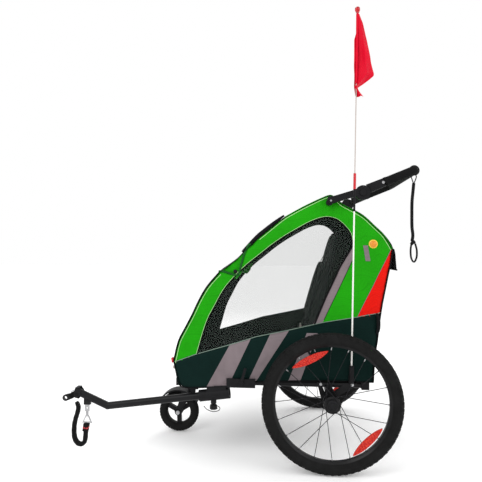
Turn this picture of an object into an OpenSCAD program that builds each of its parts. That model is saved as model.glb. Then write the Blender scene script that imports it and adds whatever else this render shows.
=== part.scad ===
// Child bicycle trailer with a side tow arm, a swivelling front wheel and a
// folding fabric cabin.  Millimetres, +Z up, -X is the direction of travel,
// -Y is the left side.  Origin: centre of the footprint, on the ground.

/* [Wheels] */
// Outer diameter of the tyre on a rear wheel
tyre_od = 500; // [490:1:506]
// Width of the rear tyre
tyre_w = 47; // [44:1:47]
// Distance between the two rear wheel planes
track = 740; // [738:1:760]
// Number of spokes in a rear wheel
spoke_count = 20; // [16:4:20]
// Outer diameter of the small front wheel
front_od = 176; // [170:1:176]
// Distance from the steering axis to the front axle
front_trail = 57; // [55:1:58]

/* [Cabin] */
// Half width of the cabin up to the seat height
half_w = 295; // [293:1:295]
// Thickness of the cabin fabric
cloth_t = 2; // [1.6:0.2:2]
// Diameter of the base frame rails
rail_d = 22; // [20:1:22]
// Diameter of the folding hoop tubes
hoop_d = 18; // [16:1:18]

/* [Handlebar] */
// Half distance between the two handlebar arms
arm_y = 232; // [231:1:233]
// Diameter of the foam grip
grip_d = 30; // [28:1:30]

/* [Tow arm] */
// Diameter of the tow tube
tow_d = 28; // [26:1:28]
// Diameter of the hole in the hitch eye
eye_d = 13; // [10:0.5:14]

/* [Flag] */
// Height of the top of the flag knob above the ground
flag_top = 1697; // [1690:1:1697]
// Diameter of the flag pole
pole_d = 6; // [6:0.5:8]

/* [Hidden] */
$fn = 64;

// the rear axle lies at X = ox in the part's frame
ox = 344;
wr = tyre_od / 2;
axle_z = wr;
ry = 272;                 // rails, left and right of the middle
rz = 292;
rr = rail_d / 2;
hr = hoop_d / 2;

// half width of the cabin at height z
function half(z) = half_w - 0.15 * max(0, z - 450);

module at() translate([ox, 0, 0]) children();
// straight round bar between two points
module bar(a, b, d) {
    v = b - a;
    l = norm(v);
    translate(a) rotate([0, acos(v.z / l), atan2(v.y, v.x)])
        cylinder(h = l, d = d);
}
module ybar(x, z, y0, y1, d) translate([x, y0, z]) rotate([-90, 0, 0])
    cylinder(h = y1 - y0, d = d);
module both() { children(); mirror([0, 1, 0]) children(); }

// ---------- base frame ----------
module side_rails() color("dimgray") at() both()
    translate([-552, ry, rz]) rotate([0, 90, 0]) cylinder(h = 668, d = rail_d);
module cross_tubes() color("dimgray") at() for (x = [-566, 130])
    ybar(x, rz, -ry + 16, ry - 16, rail_d);
module axle_beam() color("dimgray") at()
    ybar(0, axle_z, -298, 298, 26);

// joint housings at the four corners of the base frame, with a slot for the
// foot of each hoop and a pin through it
module corner_block(x, y0, y1, yh) translate([x, 0, 0]) {
    translate([-14, ry - 16, rz - 14]) cube([28, 32, 28]);
    if (y0 < ry - 16) translate([-14, y0, rz - 2]) cube([28, ry - 16 - y0, 16]);
    for (d = [-1, 1]) translate([-12, yh + d * 12 - 3, rz + 14])
        cube([24, 6, 26]);
    ybar(0, rz + 28, yh - 9.1, yh + 9.1, 8);
}
front_pivot = [-566, 320];
rear_pivot = [130, 320];
fy = 272;                 // front hoop feet
by = 239;                 // rear hoop feet
module corner_blocks() color("#202124") at() both() {
    corner_block(-566, ry - 16, 0, fy);
    corner_block(130, by - 15, 0, by);
}
module floor_board() color("#1b1c1e") at()
    translate([-548, -226, 304]) cube([660, 452, 4]);

// ---------- rear axle ----------
module bracket_shape() difference() {
    polygon([[-48, 305], [98, 305], [98, 296], [36, 262], [20, 234],
        [-14, 230], [-34, 250]]);
    translate([0, axle_z]) circle(d = 12);
    polygon([[-30, 296], [-12, 296], [-20, 272]]);
    polygon([[2, 296], [44, 296], [14, 274]]);
}
module bracket_ring() difference() {
    union() {
        translate([0, 303, 0]) rotate([90, 0, 0]) linear_extrude(5)
            bracket_shape();
        ybar(0, axle_z, 303, 330, 34);
    }
    ybar(0, axle_z, 290, 340, 12);
}
module axle_brackets() color("#1c1c1e") at() both() bracket_ring();
module stub_axles() color("silver") at() both() {
    ybar(0, axle_z, 298, 400, 12);
    ybar(0, axle_z, 396.1, 402, 19);
}
module bracket_bolts() color("silver") at() both()
    for (x = [-34, 80]) {
        ybar(x, 300, 303, 307, 11);
        ybar(x, 300, 282.5, 298, 6);
    }

// ---------- seat ----------
module seat_cushion() color("#232427") at()
    translate([-330, -212, 310]) cube([232, 424, 34]);
module seat_back() color("#232427") at() rotate([90, 0, 0])
    translate([0, 0, -205]) linear_extrude(410)
    polygon([[-92, 346], [-58, 346], [22, 690], [62, 872], [46, 876],
        [-10, 700]]);
module harness() color("#2c2d30") at() {
    for (y = [-140, -60, 60, 140]) translate([0, y - 12, 0]) rotate([90, 0, 0])
        translate([0, 0, -24]) linear_extrude(24)
        polygon([[-120, 372], [-112, 368], [-24, 660], [-32, 664]]);
}
module buckle() color("#3a3b3f") at()
    for (y = [-100, 100]) translate([-136, y - 20, 352]) cube([12, 40, 34]);

// ---------- fabric cabin ----------
// side outline of the cabin from the front sill over the top to the rear sill
outer = [[-590, 366], [-572, 443], [-546, 496], [-521, 545], [-495, 602],
    [-469, 648], [-442, 682], [-418, 709], [-392, 725], [-354, 756],
    [-327, 785], [-300, 810], [-269, 842], [-238, 867], [-203, 896],
    [-164, 926], [-105, 959], [-59, 982], [-20, 1000], [15, 1014],
    [57, 975], [109, 945], [143, 922], [179, 886], [215, 848], [243, 798],
    [234, 749], [222, 700], [209, 645], [196, 590], [187, 542]];
seam = [[193, 562], [105, 545], [-22, 524], [-146, 495], [-274, 468],
    [-385, 433], [-507, 397], [-590, 366]];
tub_low = [[-590, 366], [-579, 318], [-567, 279], [-525, 269], [-467, 272],
    [-387, 278], [-315, 291], [-274, 298], [-154, 304], [-47, 307],
    [158, 307]];
// flat skin on the upper wall, which leans inward above the taper line
module wall(p, t) translate([0, half_w, 450]) rotate([90 + atan(0.15), 0, 0])
    linear_extrude(t) polygon([for (q = p)
        [q.x, (q.y - 450) * sqrt(1 + 0.15 * 0.15)]]);
// flat skin on the upright lower wall
module lower(p, t) translate([0, half_w, 0]) rotate([90, 0, 0])
    linear_extrude(t) polygon(p);
// strip across the cabin that follows an open outline
module strip(p, t, e = 0.3) {
    n = len(p);
    function nrm(i) = let (a = p[max(i - 1, 0)], b = p[min(i + 1, n - 1)],
        d = b - a) [d.y, -d.x] / norm(d) * t;
    pts = concat(
        [for (i = [0:n - 1]) let (q = p[i]) [q.x, half(q.y) - cloth_t - e, q.y]],
        [for (i = [0:n - 1]) let (q = p[i]) [q.x, -half(q.y) + cloth_t + e, q.y]],
        [for (i = [0:n - 1]) let (q = p[i] + nrm(i))
            [q.x, half(q.y) - cloth_t - e, q.y]],
        [for (i = [0:n - 1]) let (q = p[i] + nrm(i))
            [q.x, -half(q.y) + cloth_t + e, q.y]]);
    polyhedron(pts, concat(
        [for (i = [0:n - 2]) [i, i + 1, n + i + 1, n + i]],
        [for (i = [0:n - 2]) [3 * n + i, 3 * n + i + 1, 2 * n + i + 1, 2 * n + i]],
        [for (i = [0:n - 2]) [2 * n + i, 2 * n + i + 1, i + 1, i]],
        [for (i = [0:n - 2]) [n + i, n + i + 1, 3 * n + i + 1, 3 * n + i]],
        [[0, n, 3 * n, 2 * n]],
        [[n - 1, 3 * n - 1, 4 * n - 1, 2 * n - 1]]));
}
win = [[-484, 413], [-462, 519], [-432, 580], [-399, 641], [-359, 690],
    [-313, 735], [-253, 783], [-214, 814], [-163, 849], [-106, 882],
    [-60, 909], [-11, 925], [29, 915], [59, 893], [86, 857], [93, 811],
    [43, 729], [-11, 617], [-48, 531]];
module tub() color("#12302a") at() {
    both() lower(concat([for (i = [len(seam) - 1:-1:0]) seam[i]],
        [[185, 500], [174, 460], [166, 400], [158, 307]],
        [for (i = [len(tub_low) - 2:-1:1]) tub_low[i]]), cloth_t);
    strip([[-581, 314], [-590, 366]], cloth_t);
}
module canopy_sides() color("limegreen") at() both() {
    // ahead of and above the window
    lower([[-588, 372], [-570, 450], [-476.6, 450], [-484, 416], [-507, 405]],
        cloth_t);
    wall(concat([[-570, 450]], [for (i = [2:18]) outer[i]],
        [[2, 1008.8], [-8, 992], [-8.5, 966]],
        [for (i = [11:-1:1]) win[i]], [[-476.6, 450]]), cloth_t);
    // rear quarter
    wall(concat([for (i = [20:30]) outer[i]],
        [[187, 566], [105, 549], [-18, 529], [23, 618], [66, 704],
         [97, 768], [98, 811], [91, 858], [62, 896], [30, 918]]), cloth_t);
}
module side_windows() color("#dfe6e4") at() both() {
    lower([[-480, 414], [-472.5, 450], [-338, 450], [-385, 437]], 1);
    wall([[-472.5, 450], [-458, 519], [-428, 580], [-395, 640], [-356, 688],
        [-311, 732], [-251, 780], [-213, 811], [-162, 845], [-105, 878],
        [-60, 905], [-13, 920], [26, 911], [55, 891], [82, 856], [89, 812],
        [40, 731], [-14, 618], [-55, 521], [-146, 499], [-274, 472],
        [-338, 450]], 1);
}
module canopy_stripes() color("#8c7f83") at() both()
    wall([[93.5, 807], [43.5, 728], [-10.5, 616], [-47, 530], [-18.5, 530.5],
        [22.5, 618.5], [65.5, 704.5], [96.5, 768.5]], cloth_t);
module canopy_roof() color("limegreen") at()
    strip(concat([[-589.4, 368.6]], [for (i = [1:19]) outer[i]]), cloth_t);
module rear_panel() color("#1a1b1d") at()
    strip(concat([for (i = [20:30]) outer[i]],
        [[183, 500], [174, 460], [166, 400], [158, 307]]), cloth_t);

// ---------- folding hoops ----------
front_path = [[-566, 338.2], [-549, 400], [-522, 488], [-480, 586],
    [-427, 661], [-376, 709], [-313, 762], [-228, 840], [-156, 896],
    [-78, 941], [8, 980]];
rear_path = [[130, 338.2], [136, 400], [150, 500], [166, 580], [184, 660],
    [202, 740], [208, 786], [186, 832], [142, 880], [92, 922]];
// swept round tube along a route, with rings turned to follow it
function unit(v) = v / norm(v);
function tangent(p, i) = unit(p[min(i + 1, len(p) - 1)] - p[max(i - 1, 0)]);
function rings(p, i, u) = i >= len(p) ? [] : let (t = tangent(p, i),
    w = unit(u - (u * t) * t)) concat([w], rings(p, i + 1, w));
// a further point midway along each stretch of a route
function mids(p) = [for (i = [0:len(p) - 1]) each (i == len(p) - 1 ? [p[i]] :
    let (a = p[max(i - 1, 0)], b = p[i], c = p[i + 1],
        d = p[min(i + 2, len(p) - 1)])
    [b, (-a + 9 * b + 9 * c - d) / 16])];
module sweep(p, d, m = 10, u = [0, 1, 0]) {
    n = len(p);
    w = rings(p, 0, u);
    pts = [for (i = [0:n - 1]) let (v = cross(tangent(p, i), w[i]))
        for (k = [0:m - 1]) p[i] + d / 2 * (cos(360 * k / m) * w[i]
            + sin(360 * k / m) * v)];
    polyhedron(pts, concat(
        [for (i = [0:n - 2], k = [0:m - 1]) let (l = (k + 1) % m)
            [i * m + l, i * m + k, (i + 1) * m + k, (i + 1) * m + l]],
        [[for (k = [0:m - 1]) k]],
        [[for (k = [m - 1:-1:0]) (n - 1) * m + k]]));
}
// whole hoop: up the left side, across the top and down the right side
module hoop(p, off) {
    n = len(p);
    side = [for (a = p) [a.x, 0.128 * max(0, a.y - 420) - off, a.y]];
    top = side[n - 1];
    all = concat([for (a = mids(side)) a],
        [[top.x + 9, top.y + 12, top.z + 4], [top.x + 14, top.y + 34, top.z + 6],
         [top.x + 15, top.y + 90, top.z + 7], [top.x + 15, 0, top.z + 7],
         [top.x + 15, -top.y - 90, top.z + 7],
         [top.x + 14, -top.y - 34, top.z + 6], [top.x + 9, -top.y - 12, top.z + 4]],
        [for (i = [2 * n - 2:-1:0]) let (a = mids(side)[i]) [a.x, -a.y, a.z]]);
    sweep(all, hoop_d, 12, [0, 1, 0]);
}
module hoop_eye(c, y) difference() {
    union() {
        translate([c.x, y, c.y]) rotate([90, 0, 0])
            cylinder(h = 17.4, d = 22, center = true);
        translate([c.x, y, c.y]) cylinder(h = 18, d = 17);
    }
    ybar(c.x, c.y, y - 9.5, y + 9.5, 8.08);
}
module front_hoop() color("#1a1b1d") at() hoop(front_path, fy);
module rear_hoop() color("#1a1b1d") at() hoop(rear_path, by);
module front_hoop_feet() color("#202124") at() both() hoop_eye(front_pivot, fy);
module rear_hoop_feet() color("#202124") at() both() hoop_eye(rear_pivot, by);
// lever locks beside the frame under the cabin
module frame_locks() color("#1a1b1d") at() both() {
    translate([-384, 298, 280]) cube([108, 12, 32]);
    ybar(-300, 284, 280, 298, 6);
    ybar(-328, 298, 309, 317, 6);
}
module lock_levers() color("#2a2b2e") at() both()
    translate([-328, 316.3, 298]) rotate([90, 0, 0]) linear_extrude(6)
        difference() {
            union() {
                circle(d = 16);
                rotate(-16) translate([-5, 0]) square([10, 58]);
            }
            circle(d = 6.06);
        }

// ---------- handlebar ----------
kx = 133;
kz = 1014;
module handle_base() color("#1a1b1d") at() both() {
    difference() {
        union() {
            translate([0, arm_y - 11, 0]) rotate([90, 0, 0])
                translate([0, 0, -22]) linear_extrude(22)
                polygon([[-6, 973], [0, 968], [kx - 22, 1002], [kx - 16, 1030],
                    [22, 1002], [2, 1000]]);
            ybar(kx, kz, arm_y - 11, arm_y + 11, 56);
            ybar(8, 980, 205, arm_y + 11, 26);
        }
        // room for the turning half of the knuckle
        ybar(kx, kz, arm_y - 11.1, arm_y - 1, 57);
        ybar(kx, kz, arm_y - 12, arm_y + 12, 10);
        ybar(8, 980, 190, arm_y - 4, 18.2);
    }
}
module knuckle_bolts() color("#c8c9cb") at() both() {
    ybar(kx, kz, arm_y - 11, arm_y + 11, 9.9);
    ybar(kx, kz, arm_y + 11, arm_y + 17, 24);
    ybar(8, 980, arm_y + 11, arm_y + 14, 13);
}
hdir = [cos(21.8), sin(21.8)];
// point at distance s along the slanted handlebar tube
function hp(s) = [kx + hdir.x * s, kz + 8 + hdir.y * s];
ty = arm_y - 12;          // handlebar tubes, left and right of the middle
module handlebar() color("#1a1b1d") at() {
    both() difference() {
        union() {
            ybar(kx, kz, arm_y - 10.8, arm_y - 1.3, 56);
            bar([kx + 12, ty, hp(12.9).y], [hp(216).x, ty, hp(216).y], 20);
            translate([hp(216).x, ty, hp(216).y]) sphere(d = 20.4);
        }
        ybar(kx, kz, arm_y - 30, arm_y + 12, 10.08);
    }
    ybar(hp(216).x, hp(216).y, -ty, ty, 19.6);
}
module handlebar_grip() color("#0e0e0f") at() {
    both() difference() {
        bar([hp(92).x, ty, hp(92).y], [hp(200).x, ty, hp(200).y], grip_d);
        bar([hp(80).x, ty, hp(80).y], [hp(210).x, ty, hp(210).y], 20);
    }
    difference() {
        ybar(hp(216).x, hp(216).y, -ty + 16, ty - 16, grip_d);
        ybar(hp(216).x, hp(216).y, -ty, ty, 19.6);
    }
}
wrist_route = [[333, 0, 1086], [332, 0, 1062], [328, 0, 1020], [324, 0, 980],
    [323, 0, 930], [323, 0, 884], [326, 0, 850], [321, 0, 822],
    [317, 0, 794], [319, 0, 764], [329, 0, 748], [339, 0, 766],
    [340, 0, 794], [334, 0, 820]];
module wrist_strap() color("#161617") at() translate([0, -205, 0])
    sweep(mids([for (q = wrist_route) q]), 8);

// ---------- tow arm ----------
ta = 7.63;                // slope of the tow tube
tdir = [cos(ta), 0, sin(ta)];
tow_end = [-398, -ry, 248.2];
tow_front = [-855, -ry, 187];
module tow_socket() color("#17181a") at() difference() {
    union() {
        translate(tow_end - 95 * tdir) rotate([0, 90 - ta, 0])
            translate([0, 0, 0]) cylinder(h = 118, d = 44);
        translate([-462, -ry - 17, 250]) cube([74, 34, 56]);
        translate(tow_end - 40 * tdir - [0, 0, 34]) cylinder(h = 22, d = 22);
    }
    translate(tow_end - 120 * tdir) rotate([0, 90 - ta, 0])
        cylinder(h = 170, d = tow_d + 0.1);
    translate([-500, -ry, rz]) rotate([0, 90, 0])
        cylinder(h = 160, d = rail_d + 0.1);
    translate(tow_end - 40 * tdir - [0, 0, 60]) cylinder(h = 50, d = 8.1);
}
module tow_clamp_knob() color("#c9cacc") at()
    translate(tow_end - 40 * tdir - [0, 0, 36]) {
        translate([0, 0, -16]) cylinder(h = 37, d = 8);
        translate([0, 0, -20]) cylinder(h = 17, d = 24);
        for (a = [0:60:300]) rotate([0, 0, a]) translate([11, 0, -20])
            cylinder(h = 15, d = 7);
    }
// tow tube: straight out of the socket, then rising to the hitch
module tow_bar() color("#151517") at() {
    bar(tow_end + 6 * tdir, tow_front, tow_d);
    translate(tow_front) sphere(d = tow_d + 0.6);
    bar(tow_front, [-972, -ry, 237], tow_d - 0.4);
    translate([-972, -ry, 237]) sphere(d = tow_d + 0.4);
    translate([-950, -ry - 6, 190]) cube([26, 12, 27]);
}
module hitch_eye() color("#c9cacc") at() difference() {
    union() {
        hull() {
            ybar(-1025, 214, -ry - 5, -ry + 5, 25);
            ybar(-1000, 222, -ry - 5, -ry + 5, 21);
        }
        bar([-1004, -ry, 221], [-986.5, -ry, 230], 16);
    }
    ybar(-1025, 214, -ry - 20, -ry + 20, eye_d);
}
module hitch_latch() color("#1b1b1d") at() translate([-972, -ry, 237]) {
    difference() {
        rotate([90, 0, 0]) cylinder(h = 32, d = 30, center = true);
        rotate([90, 0, 0]) cylinder(h = 28.6, d = 60, center = true);
    }
    for (s = [-1, 1]) translate([0, s * 15.15, 0]) rotate([90, 0, 0])
        linear_extrude(1.7, center = true)
        polygon([[-14, 2], [14, 2], [5, 19], [-9, 19]]);
    translate([-9, -16, 18.8]) cube([14, 32, 2.4]);
}
strap_route = [[-982, 199], [-974, 180], [-977, 158], [-985, 132],
    [-990, 104], [-990, 72], [-984, 50], [-971, 37], [-955, 37], [-946, 50],
    [-943, 80], [-940, 105], [-938.4, 116]];
module safety_strap() color("#151516") at() translate([0, -ry, 0])
    sweep(mids([for (q = strap_route) [q.x, 0, q.y]]), 17);
module strap_ring() color("#c9cacc") at() translate([0, -ry, 0])
    difference() {
        translate([0, 2.5, 0]) rotate([90, 0, 0]) linear_extrude(5)
            polygon([[-958, 118.3], [-918, 118.3], [-932, 148], [-944, 148]]);
        translate([0, 4, 0]) rotate([90, 0, 0]) linear_extrude(8)
            polygon([[-951, 123], [-925, 123], [-934, 143], [-942, 143]]);
    }
module snap_hook() color("#b9babd") at() translate([-938, -ry, 0])
    difference() {
        union() {
            translate([0, 0, 148.2]) cylinder(h = 18, d = 10);
            translate([-8, -4, 164]) cube([16, 8, 25.7]);
        }
        translate([0, 5, 176]) rotate([90, 0, 0]) cylinder(h = 10, d = 8);
    }

// ---------- front wheel ----------
fr = front_od / 2;
fx = -632;                // front axle
sx = fx + front_trail;    // steering axis
module wheel_arm() color("#17181a") at() difference() {
    union() {
        translate([sx - 15, -16, 186]) cube([44, 32, 117.8]);
        translate([sx, 0, 186]) cylinder(h = 30, d = 34);
    }
    translate([sx, 0, 180]) cylinder(h = 34, d = 16.1);
    ybar(-566, rz, -20, 20, rail_d + 0.1);
}
// arch over the front tyre, with a leg down each side to the axle
module caster_fork() color("#17181a") at() difference() {
    union() {
        translate([sx, 0, 170]) cylinder(h = 42, d = 16);
        translate([sx, 0, 171]) cylinder(h = 14.7, d = 32);
        intersection() {
            difference() {
                ybar(fx, fr, -29, 29, 2 * (fr + 10));
                ybar(fx, fr, -30, 30, 2 * (fr + 4));
            }
            translate([0, 40, 0]) rotate([90, 0, 0]) linear_extrude(80)
                polygon([[fx, fr], [fx + 130, fr + 70], [fx + 60, fr + 130],
                    [fx - 70, fr + 130], [fx - 90, fr + 86]]);
        }
        for (y = [-29, 22]) translate([0, y + 7, 0]) rotate([90, 0, 0])
            linear_extrude(7) polygon([[fx - 11, fr - 4], [fx - 11, fr + 6],
                [fx + 22, fr + 94], [fx + 54, fr + 79], [fx + 11, fr - 2],
                [fx, fr - 12]]);
    }
    ybar(fx, fr, -40, 40, 10);
}
module front_axle() color("silver") at() {
    ybar(fx, fr, -30, 30, 10);
    for (s = [-1, 1]) ybar(fx, fr, s > 0 ? 29 : -34, s > 0 ? 34 : -29, 17);
}
module front_rim() color("#202124") at() translate([fx, 0, fr]) {
    difference() {
        rotate([90, 0, 0]) cylinder(r = 66, h = 30, center = true);
        rotate([90, 0, 0]) cylinder(r = 58, h = 32, center = true);
    }
    difference() {
        union() {
            rotate([90, 0, 0]) cylinder(r = 17, h = 38, center = true);
            for (a = [32, 152, 272]) rotate([0, -a, 0])
                translate([14, -9, -9]) cube([48, 18, 18]);
        }
        rotate([90, 0, 0]) cylinder(d = 10.08, h = 44, center = true);
    }
}
module front_tyre() color("#111112") at() translate([fx, 0, fr])
    rotate([90, 0, 0]) rotate_extrude($fn = 96) difference() {
        translate([fr - 20, 0]) circle(d = 40, $fn = 48);
        translate([0, -30]) square([66.05, 60]);
    }

// ---------- rear wheels ----------
rc = wr - tyre_w / 2;
module wheel_at() at() translate([0, 0, axle_z]) children();
module tyre_shape() rotate([90, 0, 0]) rotate_extrude($fn = 128)
    difference() {
        translate([rc, 0]) circle(d = tyre_w, $fn = 64);
        translate([190, -13.05]) square([25.05, 26.1]);
        translate([190, -30]) square([18, 60]);
    }
module rim_shape() rotate([90, 0, 0]) rotate_extrude($fn = 128)
    polygon([[200, -7], [200, 7], [208, 13], [215, 13], [215, 10.6],
        [209, 10], [205, 4], [205, -4], [209, -10], [215, -10.6],
        [215, -13], [208, -13]]);
module hub_shape() difference() {
    rotate([90, 0, 0]) union() {
        cylinder(h = 50, d = 34, center = true);
        for (s = [-1, 1]) translate([0, 0, s * 19]) {
            cylinder(h = 3.4, d = 60, center = true);
        }
        translate([0, 0, 22]) cylinder(h = 3, d = 42);
    }
    rotate([90, 0, 0]) cylinder(h = 60, d = 13, center = true);
    for (s = [-1, 1]) translate([0, s * 21, 0]) rotate([90, 0, 0])
        cylinder(h = 8.1, d = 28, center = true);
}
module bearing_shape() for (s = [-1, 1]) translate([0, s * 21, 0])
    rotate([90, 0, 0]) difference() {
        cylinder(h = 8, d = 27.9, center = true);
        cylinder(h = 9, d = 12.06, center = true);
    }
module spokes_shape() for (i = [0:spoke_count - 1]) {
    s = i % 2 == 0 ? 1 : -1;
    a = 360 * i / spoke_count;
    k = floor(i / 2) % 2 == 0 ? 1 : -1;
    b = a + k * 62;
    bar([26 * cos(b), s * 19 + k * 1.9, 26 * sin(b)],
        [203.5 * cos(a), s * 2, 203.5 * sin(a)], 2.4, $fn = 16);
}
// lens-shaped reflector held between the spokes
module reflector(r, a, y) rotate([0, -a, 0]) translate([r, y, 0])
    intersection() {
        translate([-126, 0, 0]) rotate([90, 0, 0])
            cylinder(r = 140, h = 7, center = true);
        translate([126, 0, 0]) rotate([90, 0, 0])
            cylinder(r = 140, h = 7, center = true);
        cube([60, 20, 140], center = true);
    }
module reflectors_shape(y) {
    reflector(174, 116, y);
    reflector(174, -46, y);
}
wy = track / 2;
module tyre_left() color("#161616") wheel_at() translate([0, -wy, 0]) tyre_shape();
module rim_left() color("#1c1c1e") wheel_at() translate([0, -wy, 0]) rim_shape();
module hub_left() color("#242528") wheel_at() translate([0, -wy, 0])
    mirror([0, 0, 0]) hub_shape();
module bearings_left() color("silver") wheel_at() translate([0, -wy, 0]) bearing_shape();
module spokes_left() color("#2a2b2e") wheel_at() translate([0, -wy, 0]) spokes_shape();
module reflectors_left() color("red") wheel_at() translate([0, -wy, 0]) reflectors_shape(-14);
module tyre_right() color("#161616") wheel_at() translate([0, wy, 0]) tyre_shape();
module rim_right() color("#1c1c1e") wheel_at() translate([0, wy, 0]) rim_shape();
module hub_right() color("#242528") wheel_at() translate([0, wy, 0])
    mirror([0, 1, 0]) hub_shape();
module bearings_right() color("silver") wheel_at() translate([0, wy, 0]) bearing_shape();
module spokes_right() color("#2a2b2e") wheel_at() translate([0, wy, 0]) spokes_shape();
module reflectors_right() color("red") wheel_at() translate([0, wy, 0]) reflectors_shape(14);

// ---------- flag ----------
py = -312;
pr = pole_d / 2;
function pxz(z) = 76 + (z - 330) * (30.9 / 1361);
module pole_part(z0, z1, d) bar([pxz(z0), py, z0], [pxz(z1), py, z1], d);
module flag_socket() color("#17181a") at() difference() {
    union() {
        pole_part(308, 372, 18);
        translate([pxz(330) - 9, py, 309]) cube([18, 14, 24]);
    }
    pole_part(320, 380, pole_d + 0.16);
}
module flag_pole() color("white") at() pole_part(322, 1024, pole_d);
module flag_ferrule() color("red") at() difference() {
    pole_part(1018, 1076, pole_d + 4);
    pole_part(990, 1080, pole_d);
}
module flag_mast() color("#e9e3dc") at() pole_part(1024.2, 1676, pole_d - 2);
module flag_pennant() color("red") at() translate([0, py, 0])
    rotate([90, 0, 0]) translate([0, 0, -1.5]) linear_extrude(3)
    polygon([[110, 1672], [119, 1674], [132, 1590], [146, 1510], [166, 1440],
        [146, 1420], [120, 1364], [104, 1372], [104.6, 1440], [106.2, 1520]]);
module flag_knob() color("red") at() translate([pxz(1676), py, 1676.2]) {
    cylinder(h = flag_top - 1676.2 - 6, d = 13);
    translate([0, 0, flag_top - 1676.2 - 6.5]) cylinder(h = 6.5, d1 = 13, d2 = 9);
}

side_rails();
cross_tubes();
axle_beam();
corner_blocks();
floor_board();
axle_brackets();
stub_axles();
bracket_bolts();
seat_cushion();
seat_back();
harness();
buckle();
tub();
canopy_sides();
canopy_roof();
rear_panel();
side_windows();
canopy_stripes();
front_hoop();
rear_hoop();
front_hoop_feet();
rear_hoop_feet();
handle_base();
knuckle_bolts();
handlebar();
handlebar_grip();
wrist_strap();
frame_locks();
lock_levers();
tow_socket();
tow_clamp_knob();
tow_bar();
hitch_eye();
hitch_latch();
safety_strap();
strap_ring();
snap_hook();
wheel_arm();
caster_fork();
front_axle();
front_rim();
front_tyre();
tyre_left();
rim_left();
spokes_left();
hub_left();
bearings_left();
reflectors_left();
tyre_right();
rim_right();
spokes_right();
hub_right();
bearings_right();
reflectors_right();
flag_socket();
flag_pole();
flag_ferrule();
flag_mast();
flag_pennant();
flag_knob();
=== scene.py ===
import bpy, bmesh, math, random
import numpy as np
from mathutils import Vector, Matrix, noise
from mathutils.geometry import delaunay_2d_cdt


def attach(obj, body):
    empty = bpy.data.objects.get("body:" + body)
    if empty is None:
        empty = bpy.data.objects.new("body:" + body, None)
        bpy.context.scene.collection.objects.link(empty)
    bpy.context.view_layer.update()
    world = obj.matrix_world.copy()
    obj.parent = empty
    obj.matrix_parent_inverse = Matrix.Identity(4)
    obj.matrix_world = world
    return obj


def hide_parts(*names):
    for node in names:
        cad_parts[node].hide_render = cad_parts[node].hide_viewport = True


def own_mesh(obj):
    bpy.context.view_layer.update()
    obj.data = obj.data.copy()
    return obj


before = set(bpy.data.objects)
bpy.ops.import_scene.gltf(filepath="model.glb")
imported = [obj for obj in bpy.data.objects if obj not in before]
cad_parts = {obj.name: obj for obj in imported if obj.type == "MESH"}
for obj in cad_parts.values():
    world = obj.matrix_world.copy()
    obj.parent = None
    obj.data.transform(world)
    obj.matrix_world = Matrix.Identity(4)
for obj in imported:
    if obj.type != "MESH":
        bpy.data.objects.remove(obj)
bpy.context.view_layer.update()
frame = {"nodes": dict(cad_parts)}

OX = 344.0
random.seed(7)


def P(x, y, z):
    return Vector(((x + OX) / 1000, y / 1000, z / 1000))


# ------------------------------------------------------------------ camera
yaw, pitch = math.radians(5.412), math.radians(1.547)
cam_data = bpy.data.cameras.new("camera")
cam_data.sensor_width = 36
cam_data.lens = 35.655
cam = bpy.data.objects.new("camera", cam_data)
bpy.context.scene.collection.objects.link(cam)
fwd = Vector((-math.sin(yaw) * math.cos(pitch), math.cos(yaw) * math.cos(pitch), math.sin(pitch)))
cam.location = P(-159.5, -2096.1, 779.6)
cam.rotation_mode = "QUATERNION"
cam.rotation_quaternion = fwd.to_track_quat("-Z", "Y")
cam_data.clip_start, cam_data.clip_end = 0.05, 100
bpy.context.scene.camera = cam
bpy.context.scene.view_settings.view_transform = "Standard"

# --------------------------------------------------------------- materials
MATS = {}


def new_mat(name):
    m = bpy.data.materials.new(name)
    m.use_nodes = True
    nt = m.node_tree
    b = nt.nodes["Principled BSDF"]
    MATS[name] = m
    return m, nt, b


def node(nt, kind, **kw):
    n = nt.nodes.new(kind)
    for k, v in kw.items():
        if k in n.inputs:
            n.inputs[k].default_value = v
        else:
            setattr(n, k, v)
    return n


def coords(nt, scale=(1, 1, 1)):
    t = node(nt, "ShaderNodeTexCoord")
    mp = node(nt, "ShaderNodeMapping")
    mp.inputs["Scale"].default_value = scale
    nt.links.new(t.outputs["Object"], mp.inputs["Vector"])
    return mp.outputs["Vector"]


def ramp(nt, fac, stops):
    r = nt.nodes.new("ShaderNodeValToRGB")
    while len(r.color_ramp.elements) < len(stops):
        r.color_ramp.elements.new(0.5)
    for e, (p, c) in zip(r.color_ramp.elements, stops):
        e.position = p
        e.color = (c[0], c[1], c[2], 1)
    nt.links.new(fac, r.inputs["Fac"])
    return r.outputs["Color"]


def mth(nt, op, a, b=None, c=None):
    n = nt.nodes.new("ShaderNodeMath")
    n.operation = op
    for i, v in enumerate((a, b, c)):
        if v is None:
            continue
        if isinstance(v, (int, float)):
            n.inputs[i].default_value = v
        else:
            nt.links.new(v, n.inputs[i])
    return n.outputs[0]


def scaled(c, k):
    return tuple(min(1, max(0, x * k)) for x in c)


def rough_from(nt, b, fac, lo, hi):
    r = node(nt, "ShaderNodeMapRange")
    nt.links.new(fac, r.inputs["Value"])
    r.inputs["To Min"].default_value = lo
    r.inputs["To Max"].default_value = hi
    nt.links.new(r.outputs["Result"], b.inputs["Roughness"])


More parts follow.
